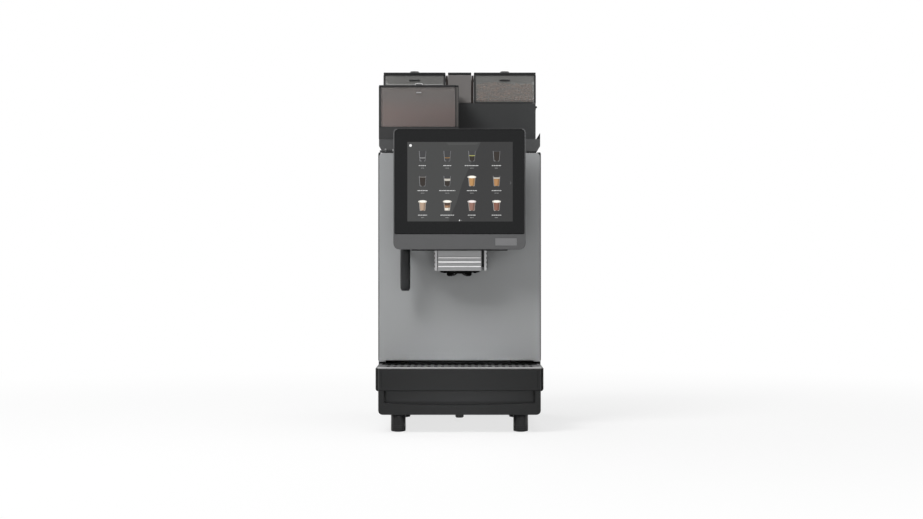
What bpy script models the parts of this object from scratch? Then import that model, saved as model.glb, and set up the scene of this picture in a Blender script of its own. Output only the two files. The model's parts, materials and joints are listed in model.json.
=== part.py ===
"""A counter-top hot drinks machine for offices and shops, as separate pieces.

X runs to the right, Y to the back and Z up. The ground under the feet is Z = 0.
"""

import math

import bmesh
import bpy
from mathutils import Matrix, Vector

MM = 0.001

# Overall sizes.
BODY_WIDTH = 330 * MM
BODY_DEPTH = 540 * MM
TRAY_DEPTH = 150 * MM
FOOT_HEIGHT = 35 * MM
BASE_HEIGHT = 47 * MM
TRAY_HEIGHT = 43 * MM
DOOR_HEIGHT = 421 * MM
DOOR_THICKNESS = 20 * MM
DECK_HEIGHT = 25.2 * MM
PEDESTAL_HEIGHT = 85 * MM
HOPPER_HEIGHT = 59 * MM
POWDER_HEIGHT = 107 * MM
POWDER_DEPTH = 142 * MM

# Fits and stock.
FIT = 0.3 * MM
SLIDE_FIT = 0.5 * MM
OVER = 1 * MM
SHEET = 2 * MM
WALL = 2.5 * MM
THICK_WALL = 3 * MM
ROUND_SIDES = 20
FINE_SIDES = 32
ARC_STEPS = 4
SHARP_ANGLE = math.radians(35)

# Levels, from the ground up.
BASE_TOP = FOOT_HEIGHT + BASE_HEIGHT
TRAY_TOP = BASE_TOP + TRAY_HEIGHT
DOOR_LIFT = 9 * MM
DOOR_BOTTOM = TRAY_TOP + DOOR_LIFT
DOOR_TOP = DOOR_BOTTOM + DOOR_HEIGHT
DECK_GAP = 2.8 * MM
DECK_BOTTOM = DOOR_TOP + DECK_GAP
DECK_TOP = DECK_BOTTOM + DECK_HEIGHT
PEDESTAL_TOP = DECK_TOP + PEDESTAL_HEIGHT
HOPPER_TOP = PEDESTAL_TOP + HOPPER_HEIGHT
POWDER_TOP = DECK_TOP + POWDER_HEIGHT

# Depths, from the front to the back.
HALF_WIDTH = BODY_WIDTH / 2
FRONT = -BODY_DEPTH / 2
BACK = BODY_DEPTH / 2
DOOR_FRONT = FRONT + TRAY_DEPTH
DOOR_BACK = DOOR_FRONT + DOOR_THICKNESS
CABINET_FRONT = DOOR_BACK + 4 * MM
BASE_BACK = BACK - 5 * MM
DECK_FRONT = DOOR_FRONT + 2 * MM
POWDER_BACK = DECK_FRONT + POWDER_DEPTH
HOPPER_FRONT = POWDER_BACK + 14 * MM
HOPPER_BACK = BACK - 45 * MM
HOPPER_MIDDLE = (HOPPER_FRONT + HOPPER_BACK) / 2

# Feet and base.
FOOT_RADIUS = 14.5 * MM
FOOT_PAD_RADIUS = 12 * MM
FOOT_PAD_HEIGHT = 2.5 * MM
FOOT_ROUND = 1 * MM
FOOT_INSET = 44.5 * MM
FOOT_FRONT_INSET = 30 * MM
FOOT_BACK_INSET = 140 * MM
BASE_INSET = 6 * MM
BASE_ROUND = 8.5 * MM
BASE_FRONT_WALL = 16 * MM
EAR_ROUND = 5 * MM
EAR_OVERLAP = 2 * MM
EAR_FRONT_INSET = 20 * MM
RECESS_EDGE = 17 * MM
RECESS_DEPTH = 12 * MM
RECESS_CORNER_LIFT = 23 * MM
RECESS_CENTRE_LIFT = 19 * MM
RECESS_STEPS = 8
NUB_RADIUS = 8.2 * MM
NUB_DROP = 6 * MM
NUB_SETBACK = 12 * MM

# Drip tray, grid and float.
TRAY_SIDE_WALL = 6 * MM
TRAY_FRONT_WALL = 18 * MM
TRAY_BACK_WALL = 4 * MM
TRAY_BACK_GAP = 5 * MM
FASCIA_THICKNESS = 5 * MM
FASCIA_ROUND = 5 * MM
PULL_HEIGHT = 27 * MM
GRID_THICKNESS = 2.5 * MM
GRID_INSET = 3.5 * MM
GRID_FRONT_INSET = 2 * MM
GRID_BACK_GAP = 3 * MM
GRID_EDGE = 14 * MM
GRID_SLOTS = 22
GRID_ROWS = 2
GRID_BAR_SHARE = 0.5
GRID_RIB_THICKNESS = 2 * MM
GRID_RIB_HEIGHT = 8 * MM
FLOAT_RADIUS = 8 * MM
FLOAT_HEIGHT = 18 * MM
FLOAT_STEM_RADIUS = 3 * MM
FLOAT_STEM_HEIGHT = 8 * MM
FLOAT_SIDE_INSET = 40 * MM
FLOAT_FRONT_INSET = 45 * MM

# Cabinet.
SIDE_FLANGE = 7 * MM
SIDE_TOP_GAP = 0.5 * MM
LOUVRE_COUNT = 6
LOUVRE_LENGTH = 90 * MM
LOUVRE_HEIGHT = 3 * MM
LOUVRE_PITCH = 9 * MM
LOUVRE_RISE = 40 * MM
LOUVRE_BACK_INSET = 40 * MM
BACK_INSET = 2 * MM
GRINDER_BACKING = 69.5 * MM
DECK_SIDE_INSET = 1.5 * MM
DECK_CHAMFER_WIDTH = 6.5 * MM
DECK_CHAMFER_HEIGHT = 11.2 * MM
DECK_POCKET_INSET = 13.5 * MM
DECK_BACK_INSET = 2 * MM
FIN_HEIGHT = 13 * MM
FIN_WIDTH = 8 * MM
PEDESTAL_INSET = 5 * MM
PEDESTAL_WALL = 8 * MM
PEDESTAL_FOOT_INSET = 10.2 * MM
PEDESTAL_SLOPE_HEIGHT = 8.5 * MM

# Door.
PANEL_INSET = 2 * MM
PANEL_THICKNESS = 3 * MM
PANEL_ROUND = 7.5 * MM
PANEL_LIP_WIDTH = 13 * MM
PANEL_LIP_DROP = 2.5 * MM
LINER_RIM = 15 * MM
LINER_SKIN = 3 * MM
LINER_TOP_GAP = 1 * MM
HOSE_HALF_WIDTH = 30 * MM
HOSE_DROP = 15 * MM
HOSE_HEIGHT = 60 * MM
HINGE_X = -HALF_WIDTH + 7 * MM
HINGE_Y = DOOR_FRONT + 12 * MM
PIN_RADIUS = 3 * MM
PIN_FIT = 0.6 * MM
PIN_REACH = 12 * MM
LUG_WIDTH = 13 * MM
LUG_DEPTH = 12 * MM
LUG_DOOR_GAP = 1.3 * MM

# Screen.
SCREEN_HALF_WIDTH = 131.5 * MM
SCREEN_BOTTOM = DOOR_TOP - 196.3 * MM
SCREEN_HEIGHT = 240.3 * MM
SCREEN_FRONT = DOOR_FRONT - 85 * MM
SCREEN_THICKNESS = 20 * MM
SCREEN_TOP_ROUND = 8 * MM
SCREEN_BOTTOM_ROUND = 12 * MM
CHIN_HEIGHT = 31.3 * MM
BEZEL_RIM = 2.5 * MM
GLASS_THICKNESS = 1.8 * MM
GLASS_ROUND = 5.5 * MM
DISPLAY_HALF_WIDTH = 105.6 * MM
DISPLAY_HEIGHT = 158.2 * MM
DISPLAY_RISE = 24.5 * MM
DISPLAY_THICKNESS = 5 * MM
DISPLAY_MARGIN = 3 * MM
MOUNT_LEFT = -92 * MM
MOUNT_RIGHT = 96 * MM
MOUNT_CHEEK = 34 * MM
MOUNT_BRIDGE = 80 * MM
MOUNT_HEIGHT = 160 * MM
MOUNT_TOP = DOOR_TOP - 5 * MM

# Outlet and wand.
SPOUT_FRONT = DOOR_FRONT - 62 * MM
COVER_LEFT = -43.3 * MM
COVER_RIGHT = 42 * MM
COVER_BOTTOM = SCREEN_BOTTOM - 42.7 * MM
COVER_HEIGHT = 130 * MM
COVER_THICKNESS = 9.5 * MM
COVER_RIB_HEIGHTS = (9.5 * MM, 19 * MM, 26 * MM)
COVER_RIB_DEPTH = 1.2 * MM
COVER_RIB_GAP = 3 * MM
CHEEK_LEFT = -50.6 * MM
CHEEK_RIGHT = 55.2 * MM
CHEEK_THICKNESS = 6.5 * MM
CHEEK_RISE = 2 * MM
CORE_RISE = 8 * MM
NOZZLE_TILE_WIDTH = 60 * MM
NOZZLE_TILE_DEPTH = 34 * MM
NOZZLE_SPACING = 36 * MM
NOZZLE_RADIUS = 6 * MM
NOZZLE_BORE = 3 * MM
NOZZLE_DROP = 10 * MM
WAND_X = -108.8 * MM
WAND_Y = DOOR_FRONT - 45 * MM
WAND_RADIUS = 10 * MM
WAND_DROP = 93 * MM
WAND_PIVOT_Z = SCREEN_BOTTOM + 13.3 * MM
WAND_TIP_RADIUS = 8 * MM
WAND_TIP_HEIGHT = 3 * MM
WAND_BORE = 3 * MM
ELBOW_RADIUS = 7 * MM

# Hoppers.
HOPPER_INNER = 30 * MM
HOPPER_SIDE_INSET = 5 * MM
HOPPER_FLOOR = 6 * MM
THROAT_RADIUS = 20 * MM
LID_THICKNESS = 5.2 * MM
LID_RIM_FIT = 0.6 * MM
LID_RIM_BACK_FIT = 2.4 * MM
LID_RIM_HEIGHT = 3 * MM
LOCK_RADIUS = 9.5 * MM
LOCK_HEIGHT = 2.8 * MM
LOCK_INSET = 12 * MM
LOCK_SLOT = 2 * MM
GATE_THICKNESS = 5.2 * MM
GATE_HALF_DEPTH = 24 * MM
GATE_LAP = 2 * MM
GATE_NUB = 2.8 * MM
GATE_CLEARANCE = 0.6 * MM
POWDER_LEFT_INSET = 1.5 * MM
POWDER_RIGHT = -2 * MM
POWDER_CHAMFER = 6 * MM
POWDER_FLOOR = 23 * MM
POWDER_LID_THICKNESS = 2.4 * MM
POWDER_THROAT_RADIUS = 12 * MM
POWDER_THROAT_DROP = 20 * MM
POWDER_LOCK_RADIUS = 8 * MM
POWDER_LOCK_HEIGHT = 4.2 * MM
AUGER_TROUGH = 13 * MM
AUGER_RADIUS = 11 * MM
AUGER_SHAFT = 4 * MM
AUGER_BLADE = 1.6 * MM
AUGER_INSET = 14 * MM
AUGER_TURNS = 6
AUGER_TURN_STEPS = 12
CHUTE_HALF_WIDTH = 24.5 * MM
TUBE_HALF_WIDTH = 12 * MM
TUBE_DEPTH = 24 * MM
TUBE_HOLE_FIT = 3 * MM

# Inner works.
SHELF_TOP = BASE_TOP + FIT + WALL
BULKHEAD_BACK = HOPPER_MIDDLE - GRINDER_BACKING
BULKHEAD_FRONT = BULKHEAD_BACK - WALL
BULKHEAD_TOP = DECK_BOTTOM - SIDE_TOP_GAP - SHEET - FIT
BULKHEAD_WINDOW = 22 * MM
BREW_Y = BULKHEAD_FRONT - 54.5 * MM
GRINDER_X = HALF_WIDTH - 70 * MM
GRINDER_MOTOR_RADIUS = 35 * MM
GRINDER_CHAMBER_RADIUS = 42 * MM
GRINDER_NECK_RADIUS = 24 * MM
GRINDER_BORE = 20 * MM
GRINDER_WALL = 6 * MM
GRINDER_MOTOR_HEIGHT = 75 * MM
GRINDER_CHAMBER_HEIGHT = 48 * MM
GRINDER_DROP = 8 * MM
GRINDER_ARM = 10 * MM
BURR_RADIUS = 32 * MM
BURR_TIP = 9 * MM
BURR_TEETH = 12
BURR_TOOTH = 3 * MM
BOILER_X = -HALF_WIDTH + 70 * MM
BOILER_RADIUS = 46 * MM
BOILER_HEIGHT = 200 * MM
BOILER_DOME = 14 * MM
BOILER_PORT = 6 * MM
PUMP_X = HALF_WIDTH - 70 * MM
PUMP_LENGTH = 84 * MM
PUMP_HALF_WIDTH = 26 * MM
PUMP_HEIGHT = 54 * MM
PUMP_HEAD_RADIUS = 18 * MM
SUPPLY_WIDTH = 52 * MM
SUPPLY_DEPTH = 70 * MM
SUPPLY_HEIGHT = 120 * MM
BOARD_LEFT = HALF_WIDTH - 125 * MM
BOARD_WIDTH = 112 * MM
BOARD_RISE = 130 * MM
BOARD_HEIGHT = 160 * MM
BOARD_THICKNESS = 1.6 * MM
BOARD_CHIP_COLUMNS = 3
BOARD_CHIP_ROWS = 3
BOARD_CHIP = 18 * MM
BOARD_CHIP_PLACE = 0.5
BOARD_CHIP_HEIGHT = 7 * MM
FAN_X = HALF_WIDTH - 70 * MM
FAN_SIZE = 80 * MM
FAN_DEPTH = 25 * MM
FAN_BORE = 37 * MM
FAN_HUB = 13 * MM
FAN_STRUT = 3 * MM
FAN_BLADES = 7
FAN_BLADE_RADIUS = 35 * MM
FAN_BLADE_THICKNESS = 2 * MM
FAN_BLADE_TILT = math.radians(35)
FAN_RISE = 350 * MM
VENT_SLOTS = 7
INLET_X = -HALF_WIDTH + 55 * MM
INLET_RISE = 40 * MM
INLET_HALF_WIDTH = 24 * MM
INLET_HALF_HEIGHT = 16 * MM
INLET_DEPTH = 24 * MM
SOCKET_LEFT = -20 * MM
SOCKET_RIGHT = 4 * MM
SOCKET_HALF_HEIGHT = 8 * MM
SOCKET_DEPTH = 15 * MM
SWITCH_LEFT = 8 * MM
SWITCH_RIGHT = 20 * MM
SWITCH_HALF_HEIGHT = 9 * MM
SWITCH_DEPTH = 6 * MM
SWITCH_FIT = 1 * MM
SWITCH_RISE = 1.5 * MM
SWITCH_TILT = math.radians(8)
BIN_HALF_WIDTH = 105 * MM
BIN_HEIGHT = 105 * MM
BIN_DEPTH = 138 * MM
BREW_HALF_WIDTH = 34 * MM
BREW_BOTTOM = SHELF_TOP + BIN_HEIGHT + 12 * MM
BREW_HEIGHT = 190 * MM
BREW_PLATE = 10 * MM
BREW_CUP_RADIUS = 27 * MM
BREW_BORE = 21 * MM
BREW_CUP_HEIGHT = 80 * MM
BREW_CUP_RISE = 30 * MM
BREW_BEAM = 14 * MM
PISTON_RADIUS = 20.4 * MM
PISTON_HEAD = 16 * MM
PISTON_ROD = 6 * MM
PISTON_ROD_FIT = 1 * MM
MOTOR_RADIUS = 20 * MM
MOTOR_LENGTH = 60 * MM
MIXER_X = -85 * MM
MIXER_Y = DECK_FRONT + 62 * MM
MIXER_RADIUS = 32 * MM
MIXER_WALL = 2.5 * MM
MIXER_TOP = DECK_BOTTOM - 45 * MM
MIXER_HEIGHT = 46 * MM
MIXER_CONE = 26 * MM
MIXER_CHAMBER = 17 * MM
MIXER_CHAMBER_BORE = 14 * MM
MIXER_CHAMBER_HALF = 22 * MM
MIXER_SPIGOT_DROP = 25.5 * MM
MIXER_SHAFT = 3 * MM
MIXER_SHAFT_FIT = 1 * MM
WHIPPER_RADIUS = 11 * MM
WHIPPER_DISC = 5 * MM
WHIPPER_VANES = 3
WHIPPER_VANE = 2 * MM


def material(name, colour, roughness, metallic=0.0, alpha=1.0):
    """A plain finish."""
    finish = bpy.data.materials.new(name)
    finish.use_nodes = True
    shader = finish.node_tree.nodes["Principled BSDF"]
    shader.inputs["Base Color"].default_value = (*colour, 1.0)
    shader.inputs["Roughness"].default_value = roughness
    shader.inputs["Metallic"].default_value = metallic
    shader.inputs["Alpha"].default_value = alpha
    finish.diffuse_color = (*colour, alpha)
    return finish


def black_plastic():
    """Satin black moulded plastic."""
    return material("black_plastic", (0.025, 0.026, 0.027), 0.42)


def gloss_black():
    """Polished black plastic."""
    return material("gloss_black", (0.012, 0.012, 0.013), 0.18)


def grey_plastic():
    """Dark grey moulded plastic."""
    return material("grey_plastic", (0.085, 0.087, 0.088), 0.45)


def silver_paint():
    """Fine satin silver paint."""
    return material("silver_paint", (0.33, 0.335, 0.34), 0.38, 0.6)


def dark_steel():
    """Dark powder-coated steel sheet."""
    return material("dark_steel", (0.05, 0.052, 0.054), 0.5, 0.3)


def stainless():
    """Brushed stainless steel."""
    return material("stainless", (0.55, 0.55, 0.54), 0.3, 1.0)


def chrome():
    """Polished chrome."""
    return material("chrome", (0.8, 0.8, 0.8), 0.1, 1.0)


def smoked_clear():
    """Smoked transparent plastic."""
    return material("smoked_clear", (0.2, 0.2, 0.19), 0.12, 0.0, 0.45)


def screen_glass_black():
    """Black cover glass."""
    return material("screen_glass_black", (0.02, 0.02, 0.021), 0.08)


def display_dark():
    """The lit area of a display."""
    return material("display_dark", (0.045, 0.045, 0.047), 0.3)


def cast_aluminium():
    """Die-cast aluminium."""
    return material("cast_aluminium", (0.42, 0.42, 0.42), 0.4, 1.0)


def zinc_plate():
    """Zinc-plated steel sheet."""
    return material("zinc_plate", (0.5, 0.5, 0.48), 0.42, 1.0)


def brass():
    """Plain brass."""
    return material("brass", (0.6, 0.42, 0.16), 0.3, 1.0)


def circuit_green():
    """Green circuit board."""
    return material("circuit_green", (0.02, 0.12, 0.05), 0.5)


def float_red():
    """Red moulded plastic."""
    return material("float_red", (0.45, 0.02, 0.015), 0.4)


def pale_plastic():
    """Off-white food-grade plastic."""
    return material("pale_plastic", (0.62, 0.61, 0.57), 0.45)


def finished(shape):
    """A mesh from a bmesh, with its faces pointing out."""
    bmesh.ops.recalc_face_normals(shape, faces=shape.faces)
    mesh = bpy.data.meshes.new("shape")
    shape.to_mesh(mesh)
    shape.free()
    return mesh


def block(x, y, z):
    """A box, each side given as its (low, high) pair."""
    shape = bmesh.new()
    bmesh.ops.create_cube(shape, size=1.0)
    size = Vector(high - low for low, high in (x, y, z))
    middle = Vector((low + high) / 2 for low, high in (x, y, z))
    place = Matrix.LocRotScale(middle, None, size)
    bmesh.ops.transform(shape, matrix=place, verts=shape.verts)
    return finished(shape)


def in_space(axis, across, up, along):
    """The point that lies so far along an axis, and so far over in the plane across it."""
    return {
        "X": (along, across, up),
        "Y": (across, along, up),
        "Z": (across, up, along),
    }[axis]


def prism(outline, axis, span):
    """An outline drawn across an axis and drawn out along it."""
    shape = bmesh.new()
    ends = [
        [shape.verts.new(in_space(axis, across, up, along)) for across, up in outline]
        for along in span
    ]
    shape.faces.new(ends[0])
    shape.faces.new(ends[1])
    for index in range(len(outline)):
        near, far = ends
        shape.faces.new((near[index - 1], near[index], far[index], far[index - 1]))
    return finished(shape)


def lathe(profile, axis, centre, sides=ROUND_SIDES):
    """A profile of (radius, along) pairs turned about an axis, on which it starts and ends."""
    shape = bmesh.new()
    rings = []
    for radius, along in profile:
        turns = range(sides) if radius else range(1)
        angles = [math.tau * turn / sides for turn in turns]
        rings.append(
            [
                shape.verts.new(
                    in_space(
                        axis,
                        centre[0] + radius * math.cos(angle),
                        centre[1] + radius * math.sin(angle),
                        along,
                    )
                )
                for angle in angles
            ]
        )
    for index, (lower, upper) in enumerate(zip(rings, rings[1:])):
        if profile[index][1] == profile[index + 1][1] and 1 in (len(lower), len(upper)):
            shape.faces.new(max(lower, upper, key=len))
            continue
        for turn in range(sides):
            corners = (
                lower[(turn - 1) % len(lower)],
                lower[turn % len(lower)],
                upper[turn % len(upper)],
                upper[(turn - 1) % len(upper)],
            )
            face = shape.faces.new(dict.fromkeys(corners))
            face.smooth = True
    loose = [vert for vert in shape.verts if not vert.link_faces]
    bmesh.ops.delete(shape, geom=loose, context="VERTS")
    mesh = finished(shape)
    mesh.set_sharp_from_angle(angle=SHARP_ANGLE)
    return mesh


def rod(radius, axis, centre, span, sides=ROUND_SIDES):
    """A plain cylinder."""
    low, high = span
    return lathe(((0, low), (radius, low), (radius, high), (0, high)), axis, centre, sides)


def rounded(corners):
    """An outline whose (across, up, radius) corners are rounded off."""
    outline = []
    for index, (across, up, radius) in enumerate(corners):
        corner = Vector((across, up))
        if not radius:
            outline.append(tuple(corner))
            continue
        to_last = (Vector(corners[index - 1][:2]) - corner).normalized()
        to_next = (Vector(corners[(index + 1) % len(corners)][:2]) - corner).normalized()
        half = to_last.angle(to_next) / 2
        centre = corner + (to_last + to_next).normalized() * radius / math.sin(half)
        start = corner + to_last * radius / math.tan(half) - centre
        end = corner + to_next * radius / math.tan(half) - centre
        turn = start.angle_signed(end)
        for step in range(ARC_STEPS + 1):
            angle = -turn * step / ARC_STEPS
            outline.append(tuple(centre + Matrix.Rotation(angle, 2) @ start))
    return outline


def add_helper(node, shape, operation):
    """Joins a hidden shape to a node, or cuts it away."""
    helper = bpy.data.objects.new(f"{node.name}_{operation.lower()}", shape)
    helper.hide_render = True
    helper.display_type = "WIRE"
    bpy.context.collection.objects.link(helper)
    modifier = node.modifiers.new(operation, "BOOLEAN")
    modifier.operation = operation
    modifier.solver = "EXACT"
    modifier.object = helper


def piece(name, finish, base, joined=(), cut=(), pivot=(0, 0, 0)):
    """A named node with its origin at the pivot."""
    base.transform(Matrix.Translation(-Vector(pivot)))
    base.materials.append(finish)
    node = bpy.data.objects.new(name, base)
    node.location = pivot
    bpy.context.collection.objects.link(node)
    for shape in joined:
        add_helper(node, shape, "UNION")
    for shape in cut:
        add_helper(node, shape, "DIFFERENCE")
    return node


def centred(middle, size):
    """The (low, high) pair of a size about its middle."""
    return (middle - size / 2, middle + size / 2)


def build_base(black, rubber):
    """The floor pan with its two side arms, and the four feet."""
    half = HALF_WIDTH - BASE_INSET
    pan = prism(
        rounded(
            (
                (-half, FOOT_HEIGHT, BASE_ROUND),
                (half, FOOT_HEIGHT, BASE_ROUND),
                (half, BASE_TOP, 0),
                (-half, BASE_TOP, 0),
            )
        ),
        "Y",
        (FRONT, BASE_BACK),
    )
    arms = []
    for side in (-1, 1):
        outer = side * HALF_WIDTH
        inner = side * (half + SLIDE_FIT)
        foot = side * (half - EAR_OVERLAP)
        arm = rounded(
            (
                (foot, BASE_TOP - EAR_OVERLAP, 0),
                (outer, BASE_TOP - EAR_OVERLAP, EAR_ROUND),
                (outer, TRAY_TOP, 0),
                (inner, TRAY_TOP, 0),
                (inner, BASE_TOP, 0),
                (foot, BASE_TOP, 0),
            )
        )
        arms.append(prism(arm, "Y", (FRONT + EAR_FRONT_INSET, BASE_BACK)))
    hinge_lug = block(
        (-HALF_WIDTH + SHEET, -HALF_WIDTH + SHEET + LUG_WIDTH),
        centred(HINGE_Y, LUG_DEPTH),
        (BASE_TOP - EAR_OVERLAP, DOOR_BOTTOM - THICK_WALL),
    )
    nub_y = FRONT + NUB_SETBACK
    nub_bottom = FOOT_HEIGHT - NUB_DROP
    nub = lathe(
        (
            (0, nub_bottom),
            (NUB_RADIUS - 2 * FOOT_ROUND, nub_bottom),
            (NUB_RADIUS, nub_bottom + 2 * FOOT_ROUND),
            (NUB_RADIUS, FOOT_HEIGHT + OVER),
            (0, FOOT_HEIGHT + OVER),
        ),
        "Z",
        (0, nub_y),
    )
    well = block(
        (-half + THICK_WALL, half - THICK_WALL),
        (FRONT + BASE_FRONT_WALL, BASE_BACK - THICK_WALL),
        (FOOT_HEIGHT + THICK_WALL, BASE_TOP + OVER),
    )
    reach = half - RECESS_EDGE + BASE_INSET
    steps = range(RECESS_STEPS + 1)
    shares = [2 * step / RECESS_STEPS - 1 for step in steps]
    sag = RECESS_CORNER_LIFT - RECESS_CENTRE_LIFT
    smile = [
        (share * reach, FOOT_HEIGHT + RECESS_CENTRE_LIFT + sag * share * share)
        for share in shares
    ]
    smile += [(reach, BASE_TOP + OVER), (-reach, BASE_TOP + OVER)]
    recess = prism(smile, "Y", (FRONT - OVER, FRONT + RECESS_DEPTH))
    piece("base_pan", black, pan, [*arms, hinge_lug, nub], [well, recess])
    foot_x = HALF_WIDTH - FOOT_INSET
    rows = (("front", FRONT + FOOT_FRONT_INSET), ("rear", BACK - FOOT_BACK_INSET))
    for row, foot_y in rows:
        for side, across in (("left", -foot_x), ("right", foot_x)):
            profile = (
                (0, 0),
                (FOOT_PAD_RADIUS, 0),
                (FOOT_PAD_RADIUS, FOOT_PAD_HEIGHT),
                (FOOT_RADIUS - FOOT_ROUND, FOOT_PAD_HEIGHT),
                (FOOT_RADIUS, FOOT_PAD_HEIGHT + FOOT_ROUND),
                (FOOT_RADIUS, FOOT_HEIGHT - FIT),
                (0, FOOT_HEIGHT - FIT),
            )
            leg = lathe(profile, "Z", (across, foot_y), FINE_SIDES)
            piece(f"foot_{row}_{side}", rubber, leg)


def build_tray(black, steel, red):
    """The drip tray that pulls out to the front, its grid and its level float."""
    half = HALF_WIDTH - BASE_INSET
    floor = BASE_TOP + FIT
    back = DOOR_FRONT - TRAY_BACK_GAP
    shell = prism(
        rounded(
            (
                (-half, FRONT, FASCIA_ROUND),
                (half, FRONT, FASCIA_ROUND),
                (half, back, 0),
                (-half, back, 0),
            )
        ),
        "Z",
        (floor, TRAY_TOP),
    )
    bowl = block(
        (-half + TRAY_SIDE_WALL, half - TRAY_SIDE_WALL),
        (FRONT + TRAY_FRONT_WALL, back - TRAY_BACK_WALL),
        (floor + THICK_WALL, TRAY_TOP + OVER),
    )
    reach = half - RECESS_EDGE + BASE_INSET
    pull = block(
        (-reach, reach),
        (FRONT + FASCIA_THICKNESS, FRONT + RECESS_DEPTH),
        (floor - OVER, floor + PULL_HEIGHT),
    )
    pivot = (0, back, floor)
    piece("drip_tray", black, shell, cut=[bowl, pull], pivot=pivot)

    low = TRAY_TOP + FIT
    grid_half = HALF_WIDTH - GRID_INSET
    front = FRONT + GRID_FRONT_INSET
    rear = DOOR_FRONT - GRID_BACK_GAP
    plate = block((-grid_half, grid_half), (front, rear), (low, low + GRID_THICKNESS))
    pitch = 2 * (grid_half - GRID_EDGE) / GRID_SLOTS
    row_depth = (rear - front - GRID_EDGE) / GRID_ROWS
    slots = []
    for row in range(GRID_ROWS):
        row_front = front + GRID_EDGE + row * row_depth
        for slot in range(GRID_SLOTS):
            left = -grid_half + GRID_EDGE + (slot + GRID_BAR_SHARE / 2) * pitch
            slots.append(
                (
                    (left, left + pitch * GRID_BAR_SHARE),
                    (row_front, row_front + row_depth - GRID_EDGE),
                    (low - OVER, low + GRID_THICKNESS + OVER),
                )
            )
    ribs = []
    rib_x = half - TRAY_SIDE_WALL - SLIDE_FIT - GRID_RIB_THICKNESS
    for left in (-rib_x - GRID_RIB_THICKNESS, rib_x):
        ribs.append(
            block(
                (left, left + GRID_RIB_THICKNESS),
                (FRONT + TRAY_FRONT_WALL + GRID_EDGE, back - GRID_EDGE),
                (low - GRID_RIB_HEIGHT, low + GRID_THICKNESS / 2),
            )
        )
    pivot = (0, rear, low)
    piece("drip_grid", steel, plate, ribs, [blocks(slots)], pivot)

    base = floor + THICK_WALL + FIT
    top = base + FLOAT_HEIGHT
    centre = (HALF_WIDTH - FLOAT_SIDE_INSET, FRONT + FLOAT_FRONT_INSET)
    profile = (
        (0, base),
        (FLOAT_RADIUS, base),
        (FLOAT_RADIUS, top),
        (FLOAT_STEM_RADIUS, top),
        (FLOAT_STEM_RADIUS, top + FLOAT_STEM_HEIGHT),
        (0, top + FLOAT_STEM_HEIGHT),
    )
    piece("tray_float", red, lathe(profile, "Z", centre), pivot=(*centre, base))


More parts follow.
